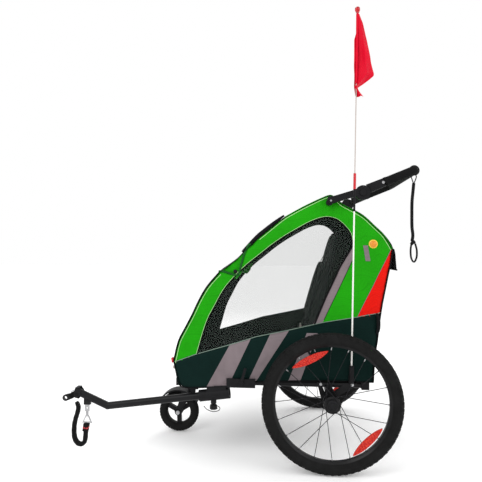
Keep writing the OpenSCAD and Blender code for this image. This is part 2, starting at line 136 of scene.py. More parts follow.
def fabric(name, col, pitch=0.0013, rough=0.62, sheen=0.25, bump=0.35, var=0.14,
           ripstop=0.0, ripdark=0.8, dirt=0.0):
    """Woven coated cloth: threads along all three axes, slubs, soft patches
    of wear and an optional ripstop grid."""
    m, nt, b = new_mat(name)
    v = coords(nt)
    sep = node(nt, "ShaderNodeSeparateXYZ")
    warp = node(nt, "ShaderNodeTexNoise", Scale=38.0, Detail=2.0)
    nt.links.new(v, warp.inputs["Vector"])
    add = node(nt, "ShaderNodeVectorMath", operation="MULTIPLY_ADD")
    nt.links.new(warp.outputs["Color"], add.inputs[0])
    add.inputs[1].default_value = (0.0012, 0.0012, 0.0012)
    nt.links.new(v, add.inputs[2])
    nt.links.new(add.outputs[0], sep.inputs[0])
    k = 2 * math.pi / pitch
    s = [mth(nt, "SINE", mth(nt, "MULTIPLY", sep.outputs[i], k)) for i in range(3)]
    w = mth(nt, "ADD", mth(nt, "ADD", s[0], s[1]), s[2])
    weave = mth(nt, "MULTIPLY_ADD", w, 0.166, 0.5)
    big = node(nt, "ShaderNodeTexNoise", Scale=9.0, Detail=4.0, Roughness=0.6)
    nt.links.new(v, big.inputs["Vector"])
    fine = node(nt, "ShaderNodeTexNoise", Scale=700.0, Detail=2.0)
    nt.links.new(v, fine.inputs["Vector"])
    tone = mth(nt, "ADD", mth(nt, "MULTIPLY", big.outputs["Fac"], 0.6),
               mth(nt, "ADD", mth(nt, "MULTIPLY", weave, 0.25),
                   mth(nt, "MULTIPLY", fine.outputs["Fac"], 0.15)))
    height = weave
    if ripstop:
        kr = math.pi / ripstop
        lines = []
        for i in range(3):
            c_ = mth(nt, "ABSOLUTE", mth(nt, "SINE", mth(nt, "MULTIPLY", sep.outputs[i], kr)))
            lines.append(mth(nt, "LESS_THAN", c_, 0.13))
        ln = mth(nt, "MINIMUM", mth(nt, "ADD", mth(nt, "ADD", lines[0], lines[1]), lines[2]), 1.0)
        tone = mth(nt, "SUBTRACT", tone, mth(nt, "MULTIPLY", ln, 0.16))
        height = mth(nt, "ADD", weave, mth(nt, "MULTIPLY", ln, 0.7))
    colr = ramp(nt, tone, [(0.28, scaled(col, 1 - var * 1.4)), (0.5, col), (0.75, scaled(col, 1 + var))])
    nt.links.new(colr, b.inputs["Base Color"])
    rough_from(nt, b, tone, rough + 0.1, rough - 0.08)
    dark = sum(col) < 0.08
    b.inputs["Sheen Weight"].default_value = sheen * (0.05 if dark else 0.12)
    b.inputs["Sheen Roughness"].default_value = 0.45
    b.inputs["Specular IOR Level"].default_value = 0.04 if dark else 0.07
    bp = node(nt, "ShaderNodeBump")
    bp.inputs["Strength"].default_value = bump
    bp.inputs["Distance"].default_value = 0.0004
    nt.links.new(height, bp.inputs["Height"])
    bp2 = node(nt, "ShaderNodeBump")
    bp2.inputs["Strength"].default_value = 0.5
    bp2.inputs["Distance"].default_value = 0.004
    cr = node(nt, "ShaderNodeTexNoise", Scale=26.0, Detail=5.0, Roughness=0.55)
    nt.links.new(v, cr.inputs["Vector"])
    nt.links.new(cr.outputs["Fac"], bp2.inputs["Height"])
    nt.links.new(bp2.outputs[0], bp.inputs["Normal"])
    nt.links.new(bp.outputs[0], b.inputs["Normal"])
    return m


def plastic(name, col, rough=0.5, grain=900.0, bump=0.25, coat=0.0, var=0.3, metallic=0.0, scuff=0.35):
    m, nt, b = new_mat(name)
    v = coords(nt)
    g = node(nt, "ShaderNodeTexNoise", Scale=grain, Detail=3.0)
    nt.links.new(v, g.inputs["Vector"])
    big = node(nt, "ShaderNodeTexNoise", Scale=22.0, Detail=6.0, Roughness=0.65)
    nt.links.new(v, big.inputs["Vector"])
    sc = node(nt, "ShaderNodeTexNoise", Scale=160.0, Detail=8.0, Roughness=0.75)
    nt.links.new(coords(nt, (1, 1, 6)), sc.inputs["Vector"])
    wear = ramp(nt, sc.outputs["Fac"], [(0.55, (0, 0, 0)), (0.72, (1, 1, 1))])
    base = ramp(nt, big.outputs["Fac"], [(0.3, scaled(col, 1 - var)), (0.7, scaled(col, 1 + var))])
    mix = node(nt, "ShaderNodeMix", data_type="RGBA")
    nt.links.new(mth(nt, "MULTIPLY", wear, scuff), mix.inputs[0])
    nt.links.new(base, mix.inputs[6])
    mix.inputs[7].default_value = (*[min(1, c * 2.2 + 0.012) for c in col], 1)
    nt.links.new(mix.outputs[2], b.inputs["Base Color"])
    rough_from(nt, b, sc.outputs["Fac"], rough - 0.12, rough + 0.14)
    b.inputs["Metallic"].default_value = metallic
    b.inputs["Specular IOR Level"].default_value = 0.10 if sum(col) < 0.08 else 0.35
    b.inputs["Coat Weight"].default_value = coat * (0.5 if sum(col) < 0.08 else 1.0)
    b.inputs["Coat Roughness"].default_value = 0.18
    bp = node(nt, "ShaderNodeBump")
    bp.inputs["Strength"].default_value = bump
    bp.inputs["Distance"].default_value = 0.0004
    nt.links.new(g.outputs["Fac"], bp.inputs["Height"])
    nt.links.new(bp.outputs[0], b.inputs["Normal"])
    return m


def metal(name, col, rough=0.3, stretch=(1, 40, 1)):
    m, nt, b = new_mat(name)
    n1 = node(nt, "ShaderNodeTexNoise", Scale=60.0, Detail=6.0)
    nt.links.new(coords(nt, stretch), n1.inputs["Vector"])
    n2 = node(nt, "ShaderNodeTexNoise", Scale=18.0, Detail=4.0)
    nt.links.new(coords(nt), n2.inputs["Vector"])
    nt.links.new(ramp(nt, n2.outputs["Fac"], [(0.3, scaled(col, 0.8)), (0.7, scaled(col, 1.08))]), b.inputs["Base Color"])
    b.inputs["Metallic"].default_value = 1.0
    rough_from(nt, b, n1.outputs["Fac"], rough - 0.1, rough + 0.15)
    bp = node(nt, "ShaderNodeBump")
    bp.inputs["Strength"].default_value = 0.15
    bp.inputs["Distance"].default_value = 0.0002
    nt.links.new(n1.outputs["Fac"], bp.inputs["Height"])
    nt.links.new(bp.outputs[0], b.inputs["Normal"])
    return m


GREEN = (0.010, 0.285, 0.0015)
M_GREEN = fabric("green_cloth", GREEN, ripstop=0.0055, sheen=0.12, rough=0.55, var=0.12)
M_DARK = fabric("dark_green_cloth", (0.0030, 0.0135, 0.0115), ripstop=0.0055, sheen=0.15, rough=0.55)
M_GREY = fabric("grey_cloth", (0.185, 0.150, 0.160), pitch=0.0016, sheen=0.2, rough=0.5)
M_RED = fabric("red_cloth", (0.66, 0.006, 0.002), ripstop=0.0055, sheen=0.15, rough=0.5)
M_BLACK = fabric("black_cloth", (0.0085, 0.0085, 0.0095), ripstop=0.0055, sheen=0.3, rough=0.6, var=0.25)
M_LINING = fabric("lining_cloth", (0.0065, 0.006, 0.006), pitch=0.0026, sheen=0.05, rough=0.85, bump=0.12, var=0.2)
M_SEAT = fabric("seat_cloth", (0.0055, 0.0055, 0.0065), pitch=0.0022, sheen=0.35, rough=0.78, bump=0.8, var=0.35)
M_PIPING = fabric("pale_piping", (0.33, 0.62, 0.24), pitch=0.0011, sheen=0.2, rough=0.5)
M_SEAMLINE = fabric("grey_piping", (0.16, 0.22, 0.18), pitch=0.0011, sheen=0.2, rough=0.5)
M_BIND = fabric("black_binding", (0.006, 0.006, 0.0065), pitch=0.0011, sheen=0.3, rough=0.6)
M_DGBIND = fabric("green_binding", (0.008, 0.085, 0.012), pitch=0.0011, sheen=0.2, rough=0.5)
M_WEB = fabric("webbing", (0.009, 0.009, 0.0095), pitch=0.0024, sheen=0.35, rough=0.62, bump=1.0, var=0.3)
M_PENNANT = fabric("pennant_cloth", (0.60, 0.002, 0.020), pitch=0.0011, ripstop=0.006, sheen=0.2, rough=0.45)
M_PLASTIC = plastic("black_nylon", (0.0085, 0.0085, 0.0095), rough=0.48, bump=0.4)
M_BOARD = plastic("floor_plastic", (0.012, 0.012, 0.013), rough=0.6)
M_COAT = plastic("black_powder_coat", (0.0075, 0.0075, 0.0083), rough=0.36, grain=1500, bump=0.3, coat=0.15)
M_RIM = plastic("black_anodised", (0.0075, 0.0075, 0.008), rough=0.34, grain=600, bump=0.1, coat=0.25)
M_SPOKE = metal("spoke_steel_black", (0.022, 0.022, 0.024), rough=0.36)
M_STEEL = metal("zinc_steel", (0.42, 0.42, 0.43), rough=0.3)
M_TYRE = plastic("tyre_rubber", (0.0078, 0.0078, 0.0078), rough=0.72, grain=420, bump=0.5, var=0.35, scuff=0.25)
M_FOAM = plastic("foam_grip", (0.0062, 0.0062, 0.0065), rough=0.86, grain=1700, bump=1.0, var=0.25, scuff=0.1)
M_POLE = plastic("white_pole", (0.78, 0.76, 0.73), rough=0.35, grain=300, bump=0.1, var=0.05, scuff=0.0)
M_MAST = plastic("pale_mast", (0.42, 0.36, 0.33), rough=0.38, grain=300, bump=0.1, var=0.06, scuff=0.0)
M_REDP = plastic("red_plastic", (0.48, 0.003, 0.010), rough=0.3, grain=500, bump=0.1, var=0.1, coat=0.3, scuff=0.05)
M_BADGE = plastic("orange_badge", (0.62, 0.22, 0.012), rough=0.35, grain=500, bump=0.2, var=0.08, coat=0.2, scuff=0.05)
M_BADGE2 = plastic("yellow_ring", (0.80, 0.50, 0.04), rough=0.35, grain=500, bump=0.2, var=0.08, coat=0.2, scuff=0.05)


def reflector_mat():
    m, nt, b = new_mat("red_reflector")
    v = coords(nt)
    vo = node(nt, "ShaderNodeTexVoronoi", Scale=260.0)
    nt.links.new(v, vo.inputs["Vector"])
    nt.links.new(ramp(nt, vo.outputs["Distance"], [(0.0, (0.85, 0.07, 0.03)), (0.6, (0.42, 0.008, 0.005))]), b.inputs["Base Color"])
    b.inputs["Roughness"].default_value = 0.16
    b.inputs["Specular IOR Level"].default_value = 0.2
    b.inputs["Coat Weight"].default_value = 0.12
    b.inputs["Coat Roughness"].default_value = 0.05
    bp = node(nt, "ShaderNodeBump")
    bp.inputs["Strength"].default_value = 0.8
    bp.inputs["Distance"].default_value = 0.001
    nt.links.new(vo.outputs["Distance"], bp.inputs["Height"])
    nt.links.new(bp.outputs[0], b.inputs["Normal"])
    return m


def film_mat():
    m, nt, b = new_mat("clear_film")
    v = coords(nt)
    n = node(nt, "ShaderNodeTexNoise", Scale=7.0, Detail=3.0)
    nt.links.new(v, n.inputs["Vector"])
    nt.links.new(ramp(nt, n.outputs["Fac"], [(0.3, (0.06, 0.085, 0.07)), (0.7, (0.10, 0.125, 0.11))]), b.inputs["Base Color"])
    b.inputs["Roughness"].default_value = 0.12
    b.inputs["Alpha"].default_value = 0.075
    b.inputs["Specular IOR Level"].default_value = 0.3
    bp = node(nt, "ShaderNodeBump")
    bp.inputs["Strength"].default_value = 0.25
    bp.inputs["Distance"].default_value = 0.004
    nt.links.new(n.outputs["Fac"], bp.inputs["Height"])
    nt.links.new(bp.outputs[0], b.inputs["Normal"])
    return m


def mesh_mat():
    """Insect mesh: a fine net that is part open."""
    m, nt, b = new_mat("insect_mesh")
    v = coords(nt)
    sep = node(nt, "ShaderNodeSeparateXYZ")
    nt.links.new(v, sep.inputs[0])
    k = math.pi / 0.003
    a = mth(nt, "ABSOLUTE", mth(nt, "SINE", mth(nt, "MULTIPLY", sep.outputs[1], k)))
    c = mth(nt, "ABSOLUTE", mth(nt, "SINE", mth(nt, "MULTIPLY", mth(nt, "ADD", sep.outputs[0], sep.outputs[2]), k)))
    lo = mth(nt, "MINIMUM", a, c)
    hole = mth(nt, "GREATER_THAN", lo, 0.55)
    al = mth(nt, "SUBTRACT", 0.96, mth(nt, "MULTIPLY", hole, 0.75))
    nt.links.new(al, b.inputs["Alpha"])
    nt.links.new(ramp(nt, lo, [(0.0, (0.014, 0.014, 0.015)), (1.0, (0.006, 0.006, 0.006))]), b.inputs["Base Color"])
    b.inputs["Roughness"].default_value = 0.7
    return m


M_REFL = reflector_mat()
M_FILM = film_mat()
M_MESH = mesh_mat()


# ------------------------------------------------------------ mesh helpers
def link(name, me, mats, smooth=True):
    o = bpy.data.objects.new(name, me)
    bpy.context.scene.collection.objects.link(o)
    for m in (mats if isinstance(mats, (list, tuple)) else [mats]):
        me.materials.append(m)
    if smooth:
        for p in me.polygons:
            p.use_smooth = True
    return o


def from_data(name, verts, faces, mats, fmat=None, smooth=True):
    me = bpy.data.meshes.new(name)
    me.from_pydata([tuple(v) for v in verts], [], faces)
    me.update()
    if fmat is not None:
        for p, k in zip(me.polygons, fmat):
            p.material_index = k
    return link(name, me, mats, smooth)


def sharp(o, deg=35):
    o.data.set_sharp_from_angle(angle=math.radians(deg))
    return o


def apply_mods(o):
    dg = bpy.context.evaluated_depsgraph_get()
    me = bpy.data.meshes.new_from_object(o.evaluated_get(dg))
    o.modifiers.clear()
    o.data = me
    return o


def inside(p, poly):
    x, y = p
    c = False
    j = len(poly) - 1
    for i in range(len(poly)):
        xi, yi = poly[i]
        xj, yj = poly[j]
        if (yi > y) != (yj > y) and x < (xj - xi) * (y - yi) / (yj - yi) + xi:
            c = not c
        j = i
    return c


def dense(line, step, closed=False):
    out = []
    n = len(line)
    for i in range(n if closed else n - 1):
        a, b = Vector(line[i]), Vector(line[(i + 1) % n])
        k = max(1, int((b - a).length / step + 0.5))
        for t in range(k):
            out.append(tuple(a + (b - a) * t / k))
    if not closed:
        out.append(tuple(line[-1]))
    return out


def spline(pts, per=6, closed=False):
    """Catmull-Rom through the points."""
    pts = [Vector(p) for p in pts]
    n = len(pts)
    out = []
    for i in range(n if closed else n - 1):
        p0 = pts[(i - 1) % n] if closed or i > 0 else pts[0] * 2 - pts[1]
        p1, p2 = pts[i], pts[(i + 1) % n]
        p3 = pts[(i + 2) % n] if closed or i + 2 < n else p2 * 2 - p1
        for k in range(per):
            t = k / per
            out.append(0.5 * ((2 * p1) + (-p0 + p2) * t + (2 * p0 - 5 * p1 + 4 * p2 - p3) * t * t
                              + (-p0 + 3 * p1 - 3 * p2 + p3) * t ** 3))
    if not closed:
        out.append(pts[-1])
    return out


def frames(path, up):
    up = Vector(up)
    res = []
    n = len(path)
    w = None
    for i in range(n):
        t = (path[min(i + 1, n - 1)] - path[max(i - 1, 0)]).normalized()
        base = up if w is None else w
        w = (base - base.dot(t) * t)
        if w.length < 1e-6:
            w = t.orthogonal()
        w.normalize()
        res.append((t, w.copy(), t.cross(w)))
    return res


def tube(name, path, radius, mat, seg=12, up=(0, 1, 0), closed=False, prof=None, cap=True):
    """Sweeps a round (or given) profile along a path.  radius may be a function of 0..1."""
    path = [Vector(p) for p in path]
    if closed:
        path = path + [path[0], path[1]]
    fr = frames(path, up)
    verts, faces = [], []
    n = len(path)
    if closed:
        n -= 1
    for i in range(n):
        t, w, u = fr[i] if not (closed and i == n - 1) else fr[0]
        p = path[i]
        r = radius(i / (n - 1)) if callable(radius) else radius
        ring = prof if prof else [(math.cos(2 * math.pi * k / seg), math.sin(2 * math.pi * k / seg)) for k in range(seg)]
        for a, b in ring:
            verts.append(p + w * a * r + u * b * r)
    m = len(ring)
    for i in range(n - 1):
        for k in range(m):
            l = (k + 1) % m
            faces.append((i * m + k, i * m + l, (i + 1) * m + l, (i + 1) * m + k))
    if cap and not closed:
        faces.append(tuple(reversed(range(m))))
        faces.append(tuple(range((n - 1) * m, n * m)))
    o = from_data(name, verts, faces, mat)
    bm = bmesh.new()
    bm.from_mesh(o.data)
    bmesh.ops.recalc_face_normals(bm, faces=bm.faces)
    if closed:
        bmesh.ops.remove_doubles(bm, verts=bm.verts, dist=1e-5)
    bm.to_mesh(o.data)
    bm.free()
    for p in o.data.polygons:
        p.use_smooth = True
    return o


def join(name, objs):
    base = objs[0]
    for o in bpy.context.selected_objects:
        o.select_set(False)
    for o in objs:
        o.select_set(True)
    bpy.context.view_layer.objects.active = base
    bpy.ops.object.join()
    base.name = name
    base.data.name = name
    return base


def soft(o):
    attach(o, "root")
    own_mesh(o)
    return o


# ----------------------------------------------------------- cabin outlines
def half(z):
    return 295 - 0.15 * max(0.0, z - 450)


outer = [(-590, 366), (-572, 443), (-546, 496), (-521, 545), (-495, 602), (-469, 648), (-442, 682),
         (-418, 709), (-392, 728), (-354, 757), (-327, 785), (-300, 810), (-269, 842), (-238, 867),
         (-203, 896), (-164, 926), (-105, 959), (-59, 982), (-20, 1000), (12, 1011), (34, 1000),
         (57, 975), (109, 945), (143, 922), (179, 886), (215, 848), (243, 798), (234, 749),
         (222, 700), (209, 645), (196, 590), (187, 542), (180, 499), (174, 460), (168, 427), (162, 372), (158, 307)]
tub_low = [(-590, 366), (-579, 318), (-567, 279), (-548, 271), (-525, 269), (-467, 272), (-387, 278), (-315, 291),
           (-274, 298), (-154, 304), (-47, 307), (158, 307)]
seam = [(-590, 366), (-507, 397), (-385, 433), (-274, 468), (-146, 495), (-22, 524), (105, 545), (192, 562)]
win = [(-497, 400), (-462, 519), (-432, 580), (-399, 641), (-359, 690), (-313, 735), (-253, 783),
       (-214, 814), (-163, 849), (-106, 882), (-60, 906), (-11, 921), (29, 915), (59, 893), (86, 857), (93, 811),
       (43, 729), (-11, 617), (-55, 517)]
stripe3 = [(93, 811), (97, 768), (66, 704), (23, 618), (-20, 533), (-44, 483), (-79, 483), (-62, 516), (-11, 617), (43, 729)]
red_poly = [(237, 793), (260, 793), (215, 552), (107, 545), (188, 700)]
red_poly = [(236, 797), (262, 797), (205, 552), (103, 545)]
str1 = [(-373, 436), (-292, 463), (-368, 304), (-390, 262), (-480, 262), (-465, 270)]
str2 = [(-220, 479), (-148, 495), (-277, 296), (-312, 285)]
str3b = [(-79, 484), (-44, 484), (-91, 355), (-110, 300), (-154, 300), (-143, 340)]
str3b = [(-84, 484), (-44, 484), (-112, 298), (-156, 298)]
notch = [(-418, 709), (-402, 711), (-372, 703), (-349, 697), (-339, 715), (-325, 770), (-308, 812), (-300, 810)]


def zseam(x):
    for (a, za), (b, zb) in zip(seam, seam[1:]):
        if a <= x <= b:
            return za + (zb - za) * (x - a) / (b - a)
    return seam[0][1] if x < seam[0][0] else seam[-1][1]


def nz(x, z, s, seed=0.0):
    return noise.noise(Vector((x / s, z / s, seed)))


def dist_line(p, line):
    best = 1e9
    for a, b in zip(line, line[1:]):
        ax, ay = a
        bx, by_ = b
        dx, dy = bx - ax, by_ - ay
        t = max(0, min(1, ((p[0] - ax) * dx + (p[1] - ay) * dy) / (dx * dx + dy * dy + 1e-9)))
        best = min(best, math.hypot(p[0] - ax - t * dx, p[1] - ay - t * dy))
    return best


outline_full = outer + list(reversed(tub_low))[1:]
win_closed = win + [(-146, 495), (-274, 468), (-385, 433), win[0]]


def side_y(x, z, seed=0.0):
    """Half width of the cabin wall with the sag and creases of the cloth."""
    d = dist_line((x, z), outline_full)
    edge = min(1.0, d / 45.0)
    y = half(z)
    # rolled edge of the panel, pulled round the hoop
    y -= 9.0 * max(0.0, 1 - d / 16.0) ** 2
    y += 2.2 * edge * nz(x, z, 95, 3.1 + seed)
    y += 0.9 * edge * nz(x, z, 34, 7.7 + seed)
    # gathers that fan out from the top joint
    r = math.hypot(x - 18, z - 1015)
    if r < 175:
        a = math.atan2(z - 1015, x - 18)
        f = max(0.0, 1 - r / 175) * min(1.0, r / 22)
        y += 4.6 * f * (math.sin(a * 17 + 1.4 * nz(x, z, 30, 2 + seed)) * 0.7 + 0.5 * math.sin(a * 31 + 2))
    # pulls along the tub between frame and seam
    if z < zseam(x):
        y += 1.6 * edge * math.sin(x / 27 + 2.2 * nz(x, z, 70, 9 + seed)) * (0.5 + 0.5 * nz(x, z, 120, 4))
    # long diagonal tension folds in the rear quarter
    if x > 60 and z > 540:
        t = (x - 60) * 0.53 + (z - 540) * 0.27
        y += 1.5 * edge * math.sin(t / 9.5 + 2.5 * nz(x, z, 90, 6 + seed))
    return y


def build_side(s, tag):
    """One side of the cabin, cut on every colour boundary.  s is -1 for the left side."""
    step = 9.0
    loops = []
    out = outer[:7] + notch + outer[12:]
    out = out + list(reversed(tub_low))[1:-1]
    loops.append(dense(out, step, True))
    border = loops[0]
    lines = [dense(seam[1:-1], step), dense(win, step), dense(stripe3 + [stripe3[0]], step),
             dense(red_poly + [red_poly[0]], step), dense(str1 + [str1[0]], step),
             dense(str2 + [str2[0]], step), dense(str3b + [str3b[0]], step)]
    pts, edges = [], []

    def add_line(l, closed):
        k0 = len(pts)
        for q in l:
            pts.append(Vector(q))
        for i in range(len(l) - 1):
            edges.append((k0 + i, k0 + i + 1))
        if closed:
            edges.append((k0 + len(l) - 1, k0))
    add_line(border, True)
    for l in lines:
        l2 = [q for q in l]
        add_line(l2, False)
    gs = 10.0
    xs = np.arange(-600, 260, gs)
    zs = np.arange(262, 1020, gs * 0.866)
    for j, z in enumerate(zs):
        for x in xs:
            xx = x + (gs / 2 if j % 2 else 0)
            if not inside((xx, z), border):
                continue
            if dist_line((xx, z), border + [border[0]]) < 5:
                continue
            if any(dist_line((xx, z), l) < 4.5 for l in lines):
                continue
            pts.append(Vector((xx, z)))
    v2, e2, f2, _, _, _ = delaunay_2d_cdt([Vector((p[0], p[1])) for p in pts], edges, [], 0, 1e-4)
    cloth, cm, film = [], [], []
    for f in f2:
        c = sum((v2[i] for i in f), Vector((0, 0))) / len(f)
        p = (c.x, c.y)
        if not inside(p, border):
            continue
        above = p[1] > zseam(p[0])
        if inside(p, win_closed) and above and not inside(p, stripe3):
            film.append(f)
            continue
        k = 0
        if not above:
            k = 1
            if inside(p, str1) or inside(p, str2) or inside(p, str3b):
                k = 2
        else:
            if inside(p, stripe3):
                k = 2
            elif inside(p, red_poly):
                k = 3
        cloth.append(f)
        cm.append(k)

    def lift(i, off=0.0):
        x, z = v2[i]
        return P(x, s * (side_y(x, z, s * 5.0) + off), z)

    def make(name, fs, mats, mi, off=0.0):
        used = sorted({i for f in fs for i in f})
        ix = {i: k for k, i in enumerate(used)}
        vs = [lift(i, off) for i in used]
        ff = [tuple(ix[i] for i in (f if s < 0 else reversed(f))) for f in fs]
        return from_data(name, vs, ff, mats, mi)

    a = make("side_cloth_" + tag, cloth, [M_GREEN, M_DARK, M_GREY, M_RED, M_SEAT], cm)
    mod = a.modifiers.new("thick", "SOLIDIFY")
    mod.thickness = 0.0014
    mod.offset = -1
    mod.material_offset = 4
    mod.material_offset_rim = 0
    b = make("side_film_" + tag, film, [M_FILM], [0] * len(film), -0.6)
    mod = b.modifiers.new("thick", "SOLIDIFY")
    mod.thickness = 0.0004
    mod.offset = -1
    return a, b


SIDES = {}
for s, tag in ((-1, "left"), (1, "right")):
    SIDES[tag] = build_side(s, tag)


def side_path(line, s, off=0.6, step=8.0, closed=False, extra=0.0):
    q = dense([tuple(p) for p in line], step, closed)
    return [P(x, s * (side_y(x, z, s * 5.0) + off), z) for x, z in q]


def inset(line, d):
    """Offsets an open outline inwards (to its right hand side when walked front to back)."""
    res = []
    n = len(line)
    for i in range(n):
        a, b = Vector(line[max(i - 1, 0)]), Vector(line[min(i + 1, n - 1)])
        t = (b - a).normalized()
        res.append((line[i][0] + t.y * d, line[i][1] - t.x * d))
    return res


trims = []
for s, tag in ((-1, "left"), (1, "right")):
    lo_out = inset([tuple(p) for p in spline([(x, z) for x, z in outer[:7] + [(-418, 707)]], 3)], 9)
    hi_out = inset([tuple(p) for p in spline(outer[12:20], 3)], 9)
    rr_out = inset([tuple(p) for p in spline(outer[20:27], 3)], 9)
    trims.append(tube("piping_front_" + tag, side_path(lo_out, s, 0.9), 0.0014, M_PIPING, 8, (0, 1, 0)))
    trims.append(tube("piping_top_" + tag, side_path(hi_out, s, 0.9), 0.0014, M_PIPING, 8))
    trims.append(tube("piping_rear_" + tag, side_path(rr_out, s, 0.9), 0.0013, M_PIPING, 8))
    w_arch = win[:16]
    arch = inset([tuple(p) for p in spline(w_arch, 3)], -3.5)
    trims.append(tube("piping_window_" + tag, side_path(arch, s, 1.0), 0.0013, M_PIPING, 8))
    bind = [tuple(p) for p in spline(w_arch, 3)] + win[16:]
    trims.append(tube("window_binding_" + tag, side_path(bind, s, 0.2), 0.0032, M_BIND, 8))
    trims.append(tube("seam_piping_" + tag, side_path(seam, s, 0.8), 0.0015, M_SEAMLINE, 8))
    ol = [tuple(p) for p in spline(outer[:7] + [(-418, 709)], 3)]
    trims.append(tube("edge_binding_front_" + tag, side_path(ol, s, 0.0), 0.0034, M_BIND, 8))
    ol = [tuple(p) for p in spline(outer[20:27] + outer[27:], 3)]
    trims.append(tube("edge_binding_rear_" + tag, side_path(ol, s, 0.0), 0.0032, M_BIND, 8))
    ol = [tuple(p) for p in spline(list(reversed(tub_low[1:])), 3)]
    trims.append(tube("tub_binding_" + tag, side_path(ol, s, 0.2), 0.0026, M_BIND, 8))
    # stitched borders of the grey stripe and the red corner
    for nm, ln in (("stripe_edge_a", [(93, 811), (43, 729), (-11, 617), (-62, 516)]),
                   ("stripe_edge_b", [(97, 768), (66, 704), (23, 618), (-20, 533)])):
        trims.append(tube(nm + "_" + tag, side_path(ln, s, 0.3), 0.0011, M_BIND, 6))
    trims.append(tube("red_edge_" + tag, side_path([(236, 797), (103, 545)], s, 0.6), 0.0011, M_GREY, 6))
    trims.append(tube("notch_binding_" + tag,
                      side_path([tuple(p) for p in spline([(-421, 712)] + notch[1:-1] + [(-298, 817)], 4)], s, 0.6, 5), 0.0042, M_DGBIND, 8))
for o in trims:
    soft(o)
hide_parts("canopy_sides", "tub", "canopy_stripes")
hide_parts("side_windows")
for tag in ("left", "right"):
    soft(SIDES[tag][0])
    soft(SIDES[tag][1])


# ------------------------------------------------------- roof, front, rear
def cross_sheet(name, line, crown, mats, pick=None, ny=40, step=9.0, inset_y=1.5, drop=0.0, thick=0.0014, wr=1.0):
    """Sheet across the cabin along a side outline, bowed outwards by crown(t)."""
    ln = dense(line, step)
    n = len(ln)
    verts, faces, mi = [], [], []
    for i, (x, z) in enumerate(ln):
        a, b = Vector(ln[max(i - 1, 0)]), Vector(ln[min(i + 1, n - 1)])
        t = (b - a).normalized()
        nx, nzz = -t.y, t.x
        h = half(z) - inset_y
        c = crown(i / (n - 1))
        for j in range(ny + 1):
            u = -1 + 2 * j / ny
            y = h * u
            k = c * (1 - abs(u) ** 2.6) + wr * 1.6 * nz(x + z, y, 80, 1.5) * (1 - u * u) + wr * 0.7 * nz(x - z, y, 30, 8.5) * (1 - u * u) - drop
            verts.append(P(x + nx * k, y, z + nzz * k))
    for i in range(n - 1):
        for j in range(ny):
            faces.append((i * (ny + 1) + j, i * (ny + 1) + j + 1, (i + 1) * (ny + 1) + j + 1, (i + 1) * (ny + 1) + j))
            x, z = ln[i]
            mi.append(pick(i / (n - 1), -1 + 2 * (j + 0.5) / ny) if pick else 0)
    o = from_data(name, verts, faces, mats, mi)
    bm = bmesh.new()
    bm.from_mesh(o.data)
    bmesh.ops.recalc_face_normals(bm, faces=bm.faces)
    up = sum((f.normal.dot(Vector((-1 if line[0][0] < -100 else 0.6, 0, 1))) for f in bm.faces))
    if up < 0:
        bmesh.ops.reverse_faces(bm, faces=bm.faces)
    bm.to_mesh(o.data)
    bm.free()
    mod = o.modifiers.new("thick", "SOLIDIFY")
    mod.thickness = thick
    mod.offset = -1
    if len(mats) > 1:
        pass
    return o


front_line = [tuple(p) for p in spline(outer[:16], 3)]
tot = len(front_line)


def front_pick(t, u):
    if abs(u) > 0.86 or t < 0.13 or t > 0.93:
        return 0
    if abs(u) > 0.82 or t < 0.16 or t > 0.90:
        return 1
    return 2


front = cross_sheet("front_cover", front_line, lambda t: 3 + 9 * math.sin(math.pi * min(1, t)) ** 1.5, [M_BLACK, M_BIND, M_MESH], front_pick)
roof_line = [tuple(p) for p in spline(outer[15:23], 3)]
roof = cross_sheet("roof", roof_line, lambda t: 7, [M_GREEN])
rear_up = [tuple(p) for p in spline(outer[22:27], 3)]
rear_top = cross_sheet("rear_slope", rear_up, lambda t: 6, [M_GREEN])
rear_line = [tuple(p) for p in spline(outer[26:37], 2)]


def rear_pick(t, u):
    if abs(u) < 0.74 and 0.10 < t < 0.46:
        return 1
    return 0


rear = cross_sheet("rear_panel_cloth", rear_line, lambda t: 5 * math.sin(math.pi * t), [M_BLACK, M_MESH], rear_pick)
tubfront = cross_sheet("tub_front", [(-566, 277), (-579, 318), (-590, 366)], lambda t: 3, [M_DARK], step=6)
for o in (front, rear, tubfront):
    soft(o)
for o in (roof, rear_top):
    soft(o)
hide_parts("canopy_roof")
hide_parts("rear_panel")

# rain flap over the rear opening
fl = []
flap_prof = [(240, 803), (249, 797), (252, 780), (252.5, 760), (253.5, 738), (254, 720)]
flap = cross_sheet("rain_flap", flap_prof, lambda t: 4, [M_BLACK], step=5, inset_y=4)
soft(flap)
hem = tube("flap_hem", [P(253.6 + 4 * (1 - (u / 40) ** 2), 255 * u / 40, 719.5) for u in range(-40, 41, 2)], 0.0028, M_BIND, 8, (0, 0, 1))
soft(hem)
# black rolled cover edge standing on the front of the roof
cov = []
for s, tag in ((-1, "left"), (1, "right")):
    ln = [tuple(p) for p in spline([(-330, 786), (-303, 813), (-271, 846), (-240, 872), (-205, 900), (-166, 929)], 4)]
    path = [P(x - 1.5, s * (half(z) - 8), z + 1.5) for x, z in ln]
    o = tube("cover_edge_" + tag, path, lambda t: 0.0035 + 0.0045 * math.sin(math.pi * t) ** 0.6, M_BLACK, 10)
    soft(o)
